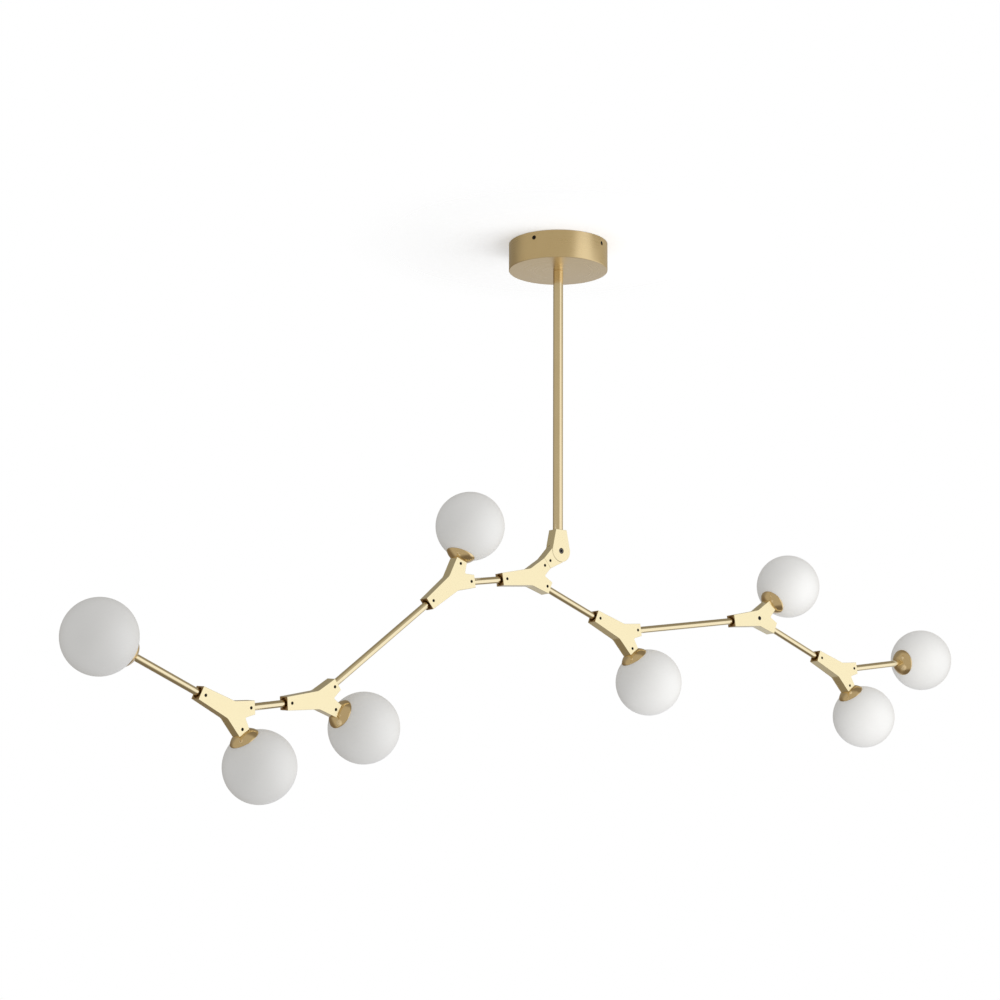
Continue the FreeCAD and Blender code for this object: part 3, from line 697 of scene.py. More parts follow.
@dataclass
class Dresser:
    """Sets finished pieces in the frame, and gives carried nodes their finish."""

    frame: dict[str, object]
    rack: Rack

    def body_of(self, node: str) -> str:
        """The body that a node rides on."""
        bodies = self.frame["record"]["behaviour"]["bodies"]
        return next(body for body, nodes in bodies.items() if node in nodes)

    def set_piece(self, name: str, node: str, stock: Stock, finishes: Sequence[Finish]) -> None:
        """Put a piece in the scene in a node's place.

        Args:
            name: The piece's name.
            node: The node that it stands for.
            stock: The piece, in the frame of the whole object.
            finishes: Its finishes, in the order that its faces number them.
        """
        piece = stock.as_object(name)
        piece.data.shade_smooth()
        piece.data.set_sharp_from_angle(angle=SMOOTH_ANGLE)
        for finish in finishes:
            piece.data.materials.append(self.rack.get(finish))
        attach(piece, self.body_of(node))
        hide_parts(node)
        low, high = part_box(node)
        points = [vertex.co for vertex in piece.data.vertices]
        grown = max(max(low[k] - min(p[k] for p in points), max(p[k] for p in points) - high[k])
                    for k in range(3))
        LOG.info("%s: %d faces, %.2f mm past its node", name, len(piece.data.polygons), max(0.0, grown / MM))

    def coat_node(self, node: str, finish: Finish) -> None:
        """Give a carried node a finish, and leave its shape alone.

        Args:
            node: The node's name.
            finish: Its finish.
        """
        carried = self.frame["nodes"][node]
        carried.data.materials.clear()
        carried.data.materials.append(self.rack.get(finish))
        LOG.info("%s: carried, in %s", node, finish.name)


# ---- screws and tubes ----

def hex_socket(flats: float, depth: float, proud: float) -> Stock:
    """The cutter for a hexagonal socket: so deep below a screw's top, which is at 0, and proud above it."""
    return Stock.prism(6, flats / math.sqrt(3), -depth, proud)


@dataclass(frozen=True)
class SetScrew:
    """A headless screw with a hexagonal socket. Its own +X points out of its top, which is at 0."""

    length: float
    radius: float = 2.0 * MM
    flats: float = 2.0 * MM
    socket_depth: float = 1.2 * MM
    chamfer: float = 0.3 * MM
    tip: float = 0.9 * MM
    segments: int = SCREW_SIDES

    def shape(self) -> Stock:
        """The screw, with a broken top edge and a cone at its tip.

        Returns:
            The screw, in its own frame.
        """
        end = -self.length
        body = Stock.lathe([(end, 0.0), (end, self.radius - self.tip), (end + self.tip, self.radius),
                            (-self.chamfer, self.radius), (0.0, self.radius - self.chamfer), (0.0, 0.0)],
                           self.segments, closed=False)
        return body.cut(hex_socket(self.flats, self.socket_depth, self.chamfer)).settled()


@dataclass(frozen=True)
class PivotScrew:
    """The hinge's screw with its round head. Its own +X points out of its head, whose top is at 0."""

    head: float = 4.0 * MM
    head_height: float = 4.0 * MM
    shank: float = 2.5 * MM
    rim: float = 0.4 * MM
    flats: float = 4.0 * MM
    socket_depth: float = 2.2 * MM
    segments: int = 40

    def shape(self, length: float) -> Stock:
        """The screw, with a broken edge on its head and at its end.

        Args:
            length: From the top of its head to its end.

        Returns:
            The screw, in its own frame.
        """
        end, under = -length, -self.head_height
        body = Stock.lathe([(end, 0.0), (end, self.shank - self.rim), (end + self.rim, self.shank),
                            (under, self.shank), (under, self.head), (-self.rim, self.head),
                            (0.0, self.head - self.rim), (0.0, 0.0)], self.segments, closed=False)
        return body.cut(hex_socket(self.flats, self.socket_depth, self.rim)).settled()


@dataclass(frozen=True)
class Tube:
    """Brass tube. Its own X runs along it."""

    radius: float = 5.0 * MM
    wall: float = 1.5 * MM
    chamfer: float = 0.3 * MM
    groove_depth: float = 0.7 * MM
    groove_width: float = 5.0 * MM
    segments: int = 48

    def length(self, start: float, end: float, groove_at: float | None = None) -> Stock:
        """Cut a length of tube.

        Args:
            start: Where it starts along X.
            end: Where it ends.
            groove_at: The middle of the groove for a set screw, or None.

        Returns:
            The tube.
        """
        inner = self.radius - self.wall
        profile = [(start, inner), (start, self.radius - self.chamfer), (start + self.chamfer, self.radius)]
        if groove_at is not None:
            floor = self.radius - self.groove_depth
            near = groove_at - self.groove_width / 2
            far = groove_at + self.groove_width / 2
            profile += [(near, self.radius), (near, floor), (far, floor), (far, self.radius)]
        profile += [(end - self.chamfer, self.radius), (end, self.radius - self.chamfer), (end, inner)]
        return Stock.lathe(profile, self.segments).settled()


def drill(radius: float, depth: float, flare: float, mouth_radius: float | None = None,
          mouth_depth: float = 0.0, segments: int = BORE_SIDES) -> Stock:
    """A cutter for a round hole. Its +X points out of the face that it cuts, which is at 0.

    Args:
        radius: The hole's radius.
        depth: How deep the hole goes.
        flare: How far the hole's rim is broken.
        mouth_radius: The radius of a wider mouth, or None.
        mouth_depth: How deep the mouth goes.
        segments: How many sides the hole has.

    Returns:
        The cutter.
    """
    profile = [(-depth, 0.0), (-depth, radius)]
    rim = radius
    if mouth_radius is not None:
        profile += [(-mouth_depth, radius), (-mouth_depth, mouth_radius)]
        rim = mouth_radius
    profile += [(-flare, rim), (flare, rim + 2 * flare), (flare, 0.0)]
    return Stock.lathe(profile, segments, closed=False)


# ---- the ceiling fitting and the rod ----

@dataclass(frozen=True)
class Canopy:
    """The round cup on the ceiling, with holes in its side for the screws that hold it."""

    radius: float = 75.0 * MM
    height: float = 42.0 * MM
    wall: float = 1.2 * MM
    edge: float = 1.0 * MM
    rod_hole: float = 5.2 * MM
    screw_hole: float = 2.2 * MM
    screw_rim: float = 0.25 * MM
    screw_seat: float = 3.2 * MM
    screw_seat_depth: float = 0.9 * MM
    screw_drop: float = 9.0 * MM
    screw_count: int = 4
    first_azimuth: float = 22.5
    segments: int = 160
    hole_segments: int = 32

    def screw_frames(self) -> list[Matrix]:
        """Frames on the canopy's side where its screws go in, with +X out of the wall."""
        step = 360.0 / self.screw_count
        return [along_z(-self.screw_drop) @ turn("Z", self.first_azimuth + k * step) @ along_x(self.radius)
                for k in range(self.screw_count)]

    def shell(self) -> Stock:
        """The canopy, drilled, in the frame of the whole object.

        Returns:
            The canopy, with its screw holes numbered 1.
        """
        bottom = -self.height
        inner = self.radius - self.wall
        through = 3 * self.wall
        corner = arc((bottom + self.edge, self.radius - self.edge), self.edge, 180.0, 90.0, steps=6)
        profile = [(bottom, self.rod_hole), *corner, (0.0, self.radius), (0.0, inner),
                   (bottom + self.wall, inner), (bottom + self.wall, self.rod_hole)]
        shell = Stock.lathe(profile, self.segments).settled().placed(UP)
        cutter = drill(self.screw_hole, through, self.screw_rim, self.screw_seat, self.screw_seat_depth,
                       self.hole_segments)
        shell.cut(*[cutter.placed(frame) for frame in self.screw_frames()])
        return shell.paint(1, lambda face: self.in_screw_hole(face.calc_center_median()))

    def in_screw_hole(self, point: Vector) -> bool:
        """Whether a point of the canopy is on the wall or the seat of one of its screw holes.

        Args:
            point: The point, in the frame of the whole object.

        Returns:
            True where it is.
        """
        reach = math.hypot(point.x, point.y)
        near = any((frame.inverted() @ point).yz.length < self.screw_seat + self.screw_rim / 4
                   for frame in self.screw_frames())
        return near and self.radius - self.wall + WELD < reach < self.radius - self.screw_rim / 2

    def dress(self, dresser: Dresser) -> None:
        """Set the canopy in place."""
        dresser.set_piece("canopy_shell", "canopy", self.shell(), [CANOPY_BRASS, HOLE_BRASS])


@dataclass(frozen=True)
class DownRod:
    """The rod from the canopy to the hinge, with a threaded spigot at each end."""

    radius: float = 7.5 * MM
    top: float = -42.0 * MM
    length: float = 400.0 * MM
    spigot: float = 5.0 * MM
    bore: float = 3.5 * MM
    lower_spigot: float = 12.0 * MM
    upper_spigot: float = 10.7 * MM
    pitch: float = 1.0 * MM
    thread_depth: float = 0.5 * MM
    chamfer: float = 0.3 * MM
    segments: int = 64

    def shape(self) -> Stock:
        """The rod, in the frame of the whole object.

        Returns:
            The rod.
        """
        bottom = self.top - self.length
        low = bottom - self.lower_spigot
        high = self.top + self.upper_spigot
        profile = [(low, self.bore), *thread(low, bottom, self.spigot, self.pitch, self.thread_depth),
                   (bottom, self.radius - self.chamfer), (bottom + self.chamfer, self.radius),
                   (self.top - self.chamfer, self.radius), (self.top, self.radius - self.chamfer),
                   *thread(self.top, high, self.spigot, self.pitch, self.thread_depth), (high, self.bore)]
        return Stock.lathe(profile, self.segments).settled().placed(UP)

    def dress(self, dresser: Dresser) -> None:
        """Set the rod in place."""
        dresser.set_piece("down_rod_bar", "down_rod", self.shape(), [ROD_BRASS])


# ---- forks ----

class Member(Enum):
    """A fork's members, by the angle at which each leaves the fork's origin, in degrees."""

    STEM = 180.0
    UPPER = 30.0
    LOWER = -30.0


@dataclass(frozen=True)
class Fork:
    """The flat Y fork with its cover plate and screws."""

    thickness: float = 17.0 * MM
    cover: float = 1.5 * MM
    stem: float = 54.0 * MM
    arm: float = 37.0 * MM
    end_width: float = 18.5 * MM
    waist_width: float = 25.2 * MM
    waist_back: float = 1.0 * MM
    waist_radius: float = 12.0 * MM
    crotch: float = 24.0 * MM
    crotch_radius: float = 2.0 * MM
    edge: float = 0.25 * MM
    bore: float = 5.05 * MM
    stem_grip: float = 16.5 * MM
    arm_grip: float = 12.5 * MM
    mouth: float = 7.5 * MM
    mouth_depth: float = 5.0 * MM
    screw_hole: float = 2.05 * MM
    screw_flare: float = 0.25 * MM
    stem_screw: float = 46.0 * MM
    arm_screw: float = 31.0 * MM
    screw_recess: float = 0.6 * MM
    cover_screw: float = 2.0 * MM
    cover_screw_head: float = 3.3 * MM
    cover_screw_length: float = 9.0 * MM
    cover_screw_flats: float = 2.5 * MM
    cover_screw_socket: float = 1.2 * MM
    cover_screw_loose: float = 0.05 * MM
    set_screw: SetScrew = SetScrew(length=3.0 * MM)
    cover_screw_segments: int = 32

    def reach(self, member: Member) -> float:
        """How long a member is."""
        return self.stem if member is Member.STEM else self.arm

    def end_frame(self, member: Member) -> Matrix:
        """The frame of a member's end, with +X out of it."""
        return turn("Z", member.value) @ along_x(self.reach(member))

    def outline(self) -> list[Point]:
        """The Y outline, with its waist and its crotch rounded.

        Returns:
            The corners, from the stem's end round by the upper arm.
        """
        half = self.end_width / 2
        spread = Matrix.Rotation(math.radians(Member.UPPER.value), 2)
        outer, inner = (tuple(spread @ Vector((self.arm, side))) for side in (half, -half))
        stem_end = (-self.stem, half)
        waist = (-self.waist_back, self.waist_width / 2)
        upper = [stem_end, *rounded(stem_end, waist, outer, self.waist_radius, steps=5), outer, inner]
        crotch = rounded(inner, (self.crotch, 0.0), (inner[0], -inner[1]), self.crotch_radius, steps=6)
        return upper + crotch + [(x, -y) for x, y in reversed(upper)]

    def screw_places(self) -> list[Matrix]:
        """Frames on the front face at the three set screws, with +X out of the face.

        Returns:
            The frames, in the order of the members.
        """
        front = along_z(self.thickness / 2) @ UP
        return [turn("Z", member.value)
                @ along_x(self.stem_screw if member is Member.STEM else self.arm_screw) @ front
                for member in Member]

    def cover_screw_place(self) -> Matrix:
        """The frame of the cover's screw, with +X out of the cover."""
        return along_z(-self.thickness / 2) @ DOWN

    def countersunk(self, clearance: float, proud: float) -> Stock:
        """The cover screw's shape, or the cutter for its hole, grown by a clearance.

        Args:
            clearance: How much wider than the screw; 0 for the screw itself.
            proud: How far it goes on above the face.

        Returns:
            The shape, with +X out of its head.
        """
        head = self.cover_screw_head + clearance
        shank = self.cover_screw + clearance
        tip = -self.cover_screw_length
        profile = [(tip, 0.0), (tip, shank), (shank - head, shank), (0.0, head), (proud, head), (proud, 0.0)]
        return Stock.lathe(profile, self.cover_screw_segments, closed=False)

    def bore_cutter(self, member: Member) -> Stock:
        """The cutter for a member's bore, which has a wider mouth in the stem."""
        mouth = (self.mouth, self.mouth_depth) if member is Member.STEM else ()
        grip = self.stem_grip if member is Member.STEM else self.arm_grip
        return drill(self.bore, grip, self.edge, *mouth).placed(self.end_frame(member))

    def cover_screw_cutter(self) -> Stock:
        """The cutter for the cover screw's hole."""
        return self.countersunk(self.cover_screw_loose, self.edge).placed(self.cover_screw_place())

    def body(self) -> Stock:
        """The fork's body: chamfered, bored at its three ends, and drilled for its screws.

        Returns:
            The body, in the fork's own frame.
        """
        half = self.thickness / 2
        body = Stock.plate(self.outline(), -half + self.cover, half).chamfer(self.edge)
        screw_drill = drill(self.screw_hole, half - self.bore + 2 * self.edge, self.screw_flare,
                            segments=SCREW_SIDES)
        cutters = [self.bore_cutter(member) for member in Member]
        cutters += [screw_drill.placed(place) for place in self.screw_places()]
        return self.dressed_faces(body.cut(*cutters, self.cover_screw_cutter()))

    def cover_plate(self) -> Stock:
        """The thin plate that closes the fork's back.

        Returns:
            The plate, in the fork's own frame.
        """
        half = self.thickness / 2
        plate = Stock.plate(self.outline(), -half, -half + self.cover).chamfer(self.edge)
        mouth = drill(self.mouth, self.mouth_depth, self.edge)
        plate.cut(self.cover_screw_cutter(), mouth.placed(self.end_frame(Member.STEM)))
        return self.dressed_faces(plate)

    def dressed_faces(self, stock: Stock) -> Stock:
        """Number the stem's end and its mouth 1, for the painted shade there, and everything else 0."""
        return stock.paint(1, lambda face: self.at_stem_end(face.calc_center_median())).settled()

    def at_stem_end(self, point: Vector) -> bool:
        """Whether a point of the fork is on the stem's end, or inside its mouth or its bore."""
        from_axis = math.hypot(point.y, point.z)
        inside = point.x < self.stem_grip - self.stem and from_axis < self.mouth + self.edge
        return inside or point.x < self.edge / 2 - self.stem

    def screws(self) -> list[Stock]:
        """The three set screws and the cover's screw.

        Returns:
            The screws, in the fork's own frame.
        """
        set_screw = self.set_screw.shape()
        socket = hex_socket(self.cover_screw_flats, self.cover_screw_socket, self.edge)
        cover_screw = self.countersunk(0.0, 0.0).cut(socket).settled()
        return [*(set_screw.placed(place @ along_x(-self.screw_recess)) for place in self.screw_places()),
                cover_screw.placed(self.cover_screw_place())]


# ---- the hinge ----

@dataclass(frozen=True)
class Hinge:
    """The two half-lapped hinge members and the screw that clamps them. Each one's +X leaves the pivot."""

    thickness: float = 17.0 * MM
    pivot_height: float = -474.0 * MM
    upper_reach: float = 32.0 * MM
    upper_width: float = 20.0 * MM
    disc: float = 16.5 * MM
    lower_reach: float = 33.5 * MM
    lower_width: float = 18.5 * MM
    lower_relief: float = 14.5 * MM
    disc_gap: float = 0.5 * MM
    lap: float = 0.1 * MM
    edge: float = 0.25 * MM
    pivot: float = 2.55 * MM
    counterbore: float = 4.2 * MM
    counterbore_depth: float = 4.6 * MM
    rod_socket: float = 5.05 * MM
    rod_socket_depth: float = 12.5 * MM
    tube_socket: float = 5.05 * MM
    tube_socket_depth: float = 12.5 * MM
    set_screw_at: float = 26.5 * MM
    set_screw_hole: float = 2.05 * MM
    recess: float = 0.6 * MM
    pivot_screw: PivotScrew = PivotScrew()
    set_screw: SetScrew = SetScrew(length=2.8 * MM)
    outline_steps: int = 40
    lap_segments: int = 96
    pivot_segments: int = 32
    counterbore_segments: int = 40

    def upper_frame(self) -> Matrix:
        """The upper member's frame."""
        return upright(0.0, self.pivot_height, 90.0)

    def lower_frame(self, slope: float) -> Matrix:
        """The lower member's frame, for a branch whose upper arm slopes so, in degrees."""
        return upright(0.0, self.pivot_height, slope + 180.0)

    def outline(self, reach: float, width: float, relief: float) -> list[Point]:
        """A disc about the pivot, whose edges run to a straight end.

        Args:
            reach: From the pivot to the end.
            width: The end's width.
            relief: The radius of the circle that the -Y edge is tangent to. It is less than the disc's
                where the other member needs room to swing.

        Returns:
            The outline's points.
        """
        half = width / 2
        corner = math.degrees(math.atan2(half, reach))
        distance = math.hypot(reach, half)
        upper = corner + math.degrees(math.acos(self.disc / distance))
        lower = (corner + math.degrees(math.acos(relief / distance))
                 - math.degrees(math.acos(relief / self.disc)))
        edge = arc((0.0, 0.0), self.disc, upper, 360.0 - lower, self.outline_steps)
        return edge + [(reach, -half), (reach, half)]

    def member(self, reach: float, width: float, relief: float, lap: tuple[float, float],
               *cutters: Stock) -> Stock:
        """A hinge member.

        Args:
            reach: From the pivot to its end.
            width: Its end's width.
            relief: The radius of its relieved edge, as in the outline.
            lap: The heights between which it is cut away round the pivot.
            cutters: What else is cut out of it.

        Returns:
            The member.
        """
        half = self.thickness / 2
        plate = Stock.plate(self.outline(reach, width, relief), -half, half).chamfer(self.edge)
        lap_cutter = Stock.prism(self.lap_segments, self.disc + self.disc_gap, *lap).placed(UP)
        hole = Stock.prism(self.pivot_segments, self.pivot, -self.thickness, self.thickness).placed(UP)
        return plate.cut(lap_cutter, hole, *cutters).settled()

    def upper(self) -> Stock:
        """The member on the rod, whose disc is in the front half.

        Returns:
            The member, in its own frame.
        """
        head = drill(self.counterbore, self.counterbore_depth, self.edge, segments=self.counterbore_segments)
        socket = drill(self.rod_socket, self.rod_socket_depth, self.edge)
        return self.member(self.upper_reach, self.upper_width, self.disc, (-self.thickness, self.lap),
                           head.placed(self.front()), socket.placed(along_x(self.upper_reach)))

    def lower(self) -> Stock:
        """The member on the branch, whose disc is in the rear half.

        Returns:
            The member, in its own frame.
        """
        socket = drill(self.tube_socket, self.tube_socket_depth, self.edge)
        depth = self.thickness / 2 - self.tube_socket + 2 * self.edge
        screw_hole = drill(self.set_screw_hole, depth, self.edge, segments=SCREW_SIDES)
        return self.member(self.lower_reach, self.lower_width, self.lower_relief, (-self.lap, self.thickness),
                           socket.placed(along_x(self.lower_reach)),
                           screw_hole.placed(along_x(self.set_screw_at) @ self.front()))

    def front(self) -> Matrix:
        """The frame over the pivot on a member's front face, with +X out of the face."""
        return along_z(self.thickness / 2) @ UP

    def dress(self, dresser: Dresser, slope: float) -> Stock:
        """Set the hinge in place.

        Args:
            dresser: What sets the pieces.
            slope: The slope of the branch's upper arm, in degrees.

        Returns:
            The lower member's set screw, which goes with the centre fork's screws.
        """
        upper_frame, lower_frame = self.upper_frame(), self.lower_frame(slope)
        sunk = self.front() @ along_x(-self.recess)
        pivot_screw = self.pivot_screw.shape(self.thickness - 2 * self.recess).placed(upper_frame @ sunk)
        dresser.set_piece("hinge_upper_member", "hinge_upper", self.upper().placed(upper_frame), [FORK_BRASS])
        dresser.set_piece("hinge_lower_member", "hinge_lower", self.lower().placed(lower_frame), [FORK_BRASS])
        dresser.set_piece("pivot_socket_screw", "pivot_screw", pivot_screw, [GREY_STEEL])
        return self.set_screw.shape().placed(lower_frame @ along_x(self.set_screw_at) @ sunk)


# ---- lamps ----

@dataclass(frozen=True)
class Lamp:
    """A globe and its cup, in a frame at the globe's centre with +X away from the fork."""

    globe: float = 50.0 * MM
    glass: float = 2.5 * MM
    neck: float = 13.0 * MM
    neck_gap: float = 0.8 * MM
    cup: float = 21.0 * MM
    cup_depth: float = 10.0 * MM
    cup_wall: float = 1.5 * MM
    cup_flat: float = 10.0 * MM
    dish: float = 22.0 * MM
    lip: float = 0.8 * MM
    lip_edge: float = 0.3 * MM
    loose: float = 0.2 * MM
    tube_hole: float = 5.05 * MM
    tube_thread: float = 4.0 * MM
    sleeve_wall: float = 1.5 * MM
    sleeve_length: float = 5.0 * MM
    segments: int = 96
    globe_steps: int = 48

    def rim(self) -> float:
        """How far behind the globe's centre the cup's rim is."""
        return math.sqrt((self.globe + self.loose) ** 2 - self.cup ** 2)

    def back(self) -> float:
        """How far behind the globe's centre the cup's back is."""
        return self.rim() + self.cup_depth

    def dish_centre(self) -> Vector:
        """The centre of the arc that the cup's curved side follows, as (along the axis, radius).

        Returns:
            The centre.
        """
        lip = Vector((-self.rim() - self.lip, self.cup))
        flat = Vector((-self.back(), self.cup_flat))
        chord = lip - flat
        inward = Vector((chord.y, -chord.x)).normalized()
        return (lip + flat) / 2 + inward * math.sqrt(self.dish ** 2 - (chord.length / 2) ** 2)

    def dish_at(self, radius: float, wall: float) -> float:
        """Where the cup's curved side is along the axis, at a radius, drawn in by a wall."""
        centre = self.dish_centre()
        return centre.x - math.sqrt((self.dish - wall) ** 2 - (radius - centre.y) ** 2)

    def dish_radius(self, along: float, wall: float) -> float:
        """The radius of the cup's curved side at a place along the axis, drawn in by a wall."""
        centre = self.dish_centre()
        return centre.y + math.sqrt((self.dish - wall) ** 2 - (along - centre.x) ** 2)

    def dish_line(self, start: float, end: float, wall: float, steps: int) -> list[Point]:
        """Points on the cup's curved side from one radius to another, drawn in by a wall."""
        radii = [start + (end - start) * k / steps for k in range(steps + 1)]
        return [(self.dish_at(radius, wall), radius) for radius in radii]

    def globe_shape(self) -> Stock:
        """The hollow globe with its neck.

        Returns:
            The globe, in the lamp's frame.
        """
        inner = self.globe - self.glass
        bore = self.neck - self.glass
        end = self.dish_at(self.neck, self.cup_wall) + self.neck_gap
        outer_end = 180.0 - math.degrees(math.asin(self.neck / self.globe))
        inner_end = 180.0 - math.degrees(math.asin(bore / inner))
        profile = [*arc((0.0, 0.0), self.globe, 0.0, outer_end, self.globe_steps), (end, self.neck),
                   (end, bore), *arc((0.0, 0.0), inner, inner_end, 0.0, self.globe_steps)]
        return Stock.lathe(profile, self.segments, closed=False).settled()

    def cup_shape(self) -> Stock:
        """The dished cup, with a thin lip on the globe and a sleeve for the globe's neck.

        Returns:
            The cup, in the lamp's frame.
        """
        floor = -self.back() + self.cup_wall
        land = self.dish_radius(-self.rim() - self.lip, self.cup_wall)
        floor_edge = self.dish_radius(floor, self.cup_wall)
        seat = -math.sqrt((self.globe + self.loose) ** 2 - land ** 2)
        sleeve = self.neck + self.loose
        sleeve_end = floor + self.sleeve_length
        sleeve_outside = sleeve + self.sleeve_wall
        profile = [(-self.back(), self.tube_hole), *self.dish_line(self.cup_flat, self.cup, 0.0, steps=14),
                   (-self.rim() - self.lip_edge, self.cup), (-self.rim(), self.cup - self.lip_edge),
                   (seat, land), *self.dish_line(land, sleeve_outside, self.cup_wall, steps=6)[1:],
                   (sleeve_end, sleeve_outside), (sleeve_end, sleeve),
                   *self.dish_line(sleeve, floor_edge, self.cup_wall, steps=4), (floor, self.tube_hole)]
        return Stock.lathe(profile, self.segments).settled()


# ---- the branch ----

@dataclass(frozen=True)
class ForkPlan:
    """Where a fork is: on which member of which fork, by which member of its own, and how it is turned."""

    body: str
    carrier: str
    on: Member
    by: Member
    gap: float
    turned: float = 0.0


@dataclass(frozen=True)
class LampPlan:
    """Where a lamp is: on which member of which fork, and how much of its tube shows."""

    body: str
    on: Member
    gap: float = 0.0


@dataclass(frozen=True)
class Branch:
    """The zigzag branch of seven forks, their tubes and eight lamps."""

    fork: Fork = Fork()
    tube: Tube = Tube()
    lamp: Lamp = Lamp()
    hinge: Hinge = Hinge()
    centre_slope: float = 9.0
    arm_tube_grip: float = 12.0 * MM
    stem_tube_grip: float = 16.0 * MM
    forks: tuple[ForkPlan, ...] = (
        ForkPlan("left_inner", "centre", Member.STEM, Member.LOWER, 51.0 * MM),
        ForkPlan("left_middle", "left_inner", Member.STEM, Member.UPPER, 196.0 * MM, -8.0),
        ForkPlan("left_outer", "left_middle", Member.STEM, Member.UPPER, 53.0 * MM),
        ForkPlan("right_inner", "centre", Member.LOWER, Member.STEM, 94.0 * MM),
        ForkPlan("right_middle", "right_inner", Member.UPPER, Member.STEM, 196.0 * MM, 180.0),
        ForkPlan("right_outer", "right_middle", Member.UPPER, Member.STEM, 102.0 * MM, 180.0),
    )
    lamps: tuple[LampPlan, ...] = (
        LampPlan("left_inner", Member.UPPER),
        LampPlan("left_middle", Member.LOWER),
        LampPlan("left_outer", Member.LOWER),
        LampPlan("left_outer", Member.STEM, 110.0 * MM),
        LampPlan("right_inner", Member.LOWER),
        LampPlan("right_middle", Member.LOWER),
        LampPlan("right_outer", Member.LOWER),
        LampPlan("right_outer", Member.UPPER, 109.0 * MM),
    )

    def arm_slope(self) -> float:
        """The slope of the centre fork's upper arm, in degrees."""
        return self.centre_slope + Member.UPPER.value

    def frames(self) -> dict[str, Matrix]:
        """Every fork's frame, walked out from the hinge.

        Returns:
            The frames, by the forks' names.
        """
        slope = math.radians(self.arm_slope())
        reach = self.hinge.lower_reach + self.fork.arm
        centre = upright(-reach * math.cos(slope), self.hinge.pivot_height - reach * math.sin(slope),
                         self.centre_slope)
        frames = {"centre": centre}
        for plan in self.forks:
            span = self.fork.reach(plan.on) + plan.gap + self.fork.reach(plan.by)
            frames[plan.body] = (frames[plan.carrier] @ turn("Z", plan.on.value) @ along_x(span)
                                 @ turn("X", plan.turned) @ turn("Z", 180.0 - plan.by.value))
        return frames

    def link_tube(self, gap: float) -> Stock:
        """A link, from inside an arm to inside the next fork's stem."""
        mouth = self.fork.arm + gap
        groove = mouth + self.fork.stem - self.fork.stem_screw
        return self.tube.length(self.fork.arm - self.arm_tube_grip, mouth + self.stem_tube_grip, groove)

    def lamp_tube(self, plan: LampPlan) -> Stock:
        """The tube from a fork's member into a lamp's cup.

        Args:
            plan: The lamp's plan.

        Returns:
            The tube, along its member's X.
        """
        reach = self.fork.reach(plan.on)
        end = reach + plan.gap + self.lamp.cup_wall + self.lamp.tube_thread
        if plan.on is Member.STEM:
            return self.tube.length(reach - self.stem_tube_grip, end, self.fork.stem_screw)
        return self.tube.length(reach - self.arm_tube_grip, end)

    def tubes(self, body: str) -> list[Stock]:
        """The tubes that a fork holds, in its own frame; a link counts for the fork whose arm grips it.

        Args:
            body: The fork's name.

        Returns:
            The tubes.
        """
        made = []
        for plan in self.forks:
            holder, member = (plan.carrier, plan.on) if plan.by is Member.STEM else (plan.body, plan.by)
            if holder == body:
                made.append(self.link_tube(plan.gap).placed(turn("Z", member.value)))
        for plan in self.lamps:
            if plan.body == body:
                made.append(self.lamp_tube(plan).placed(turn("Z", plan.on.value)))
        return made

    def hinge_tube(self) -> Stock:
        """The short tube between the centre fork's upper arm and the hinge."""
        made = self.tube.length(self.fork.arm - self.arm_tube_grip, self.fork.arm + self.arm_tube_grip)
        return made.placed(turn("Z", Member.UPPER.value))

    def lamp_frame(self, fork_frame: Matrix, plan: LampPlan) -> Matrix:
        """The frame at a globe's centre."""
        reach = self.fork.reach(plan.on) + plan.gap + self.lamp.back()
        return fork_frame @ turn("Z", plan.on.value) @ along_x(reach)

    def dress(self, dresser: Dresser) -> None:
        """Set the hinge, the forks, the tubes and the lamps in place.

        Args:
            dresser: What sets the pieces.
        """
        hinge_screw = self.hinge.dress(dresser, self.arm_slope())
        fork_body, cover, screws = self.fork.body(), self.fork.cover_plate(), self.fork.screws()
        globe, cup = self.lamp.globe_shape(), self.lamp.cup_shape()
        for body, frame in self.frames().items():
            set_screws = [screw.placed(frame) for screw in screws]
            tubes = self.tubes(body)
            if body == "centre":
                set_screws.append(hinge_screw)
                tubes.append(self.hinge_tube())
            for piece, node, stock, finishes in (
                    ("fork_body", "fork", fork_body.placed(frame), [FORK_BRASS, SHADED_END_BRASS]),
                    ("cover_plate", "cover", cover.placed(frame), [FORK_BRASS, SHADED_END_BRASS]),
                    ("screw_set", "screws", joined(set_screws), [BLACK_STEEL]),
                    ("tube_run", "tubes", joined(tube.placed(frame) for tube in tubes), [TUBE_BRASS])):
                dresser.set_piece(f"{body}_{piece}", f"{body}_{node}", stock, finishes)
            places = [self.lamp_frame(frame, plan) for plan in self.lamps if plan.body == body]
            if places:
                self.dress_lamps(dresser, body, places, globe, cup)

    def dress_lamps(self, dresser: Dresser, body: str, places: list[Matrix], globe: Stock,
                    cup: Stock) -> None:
        """Set one branch's lamps in place.

        Args:
            dresser: What sets the pieces.
            body: The branch's name.
            places: The frames of its lamps.
            globe: A globe, in its own frame.
            cup: A cup, in its own frame.
        """
        plural = "s" if len(places) > 1 else ""
        for piece, node, stock, finish in (("globe_glass", "globe", globe, OPAL),
                                           ("cup_shell", "cup", cup, CUP_BRASS)):
            dresser.set_piece(f"{body}_{piece}", f"{body}_{node}{plural}",
                              joined(stock.placed(place) for place in places), [finish])
        for node, finish in (("lampholder", CERAMIC), ("bulb", BULB_GLASS)):
            dresser.coat_node(f"{body}_{node}{plural}", finish)


# ---- the studio ----

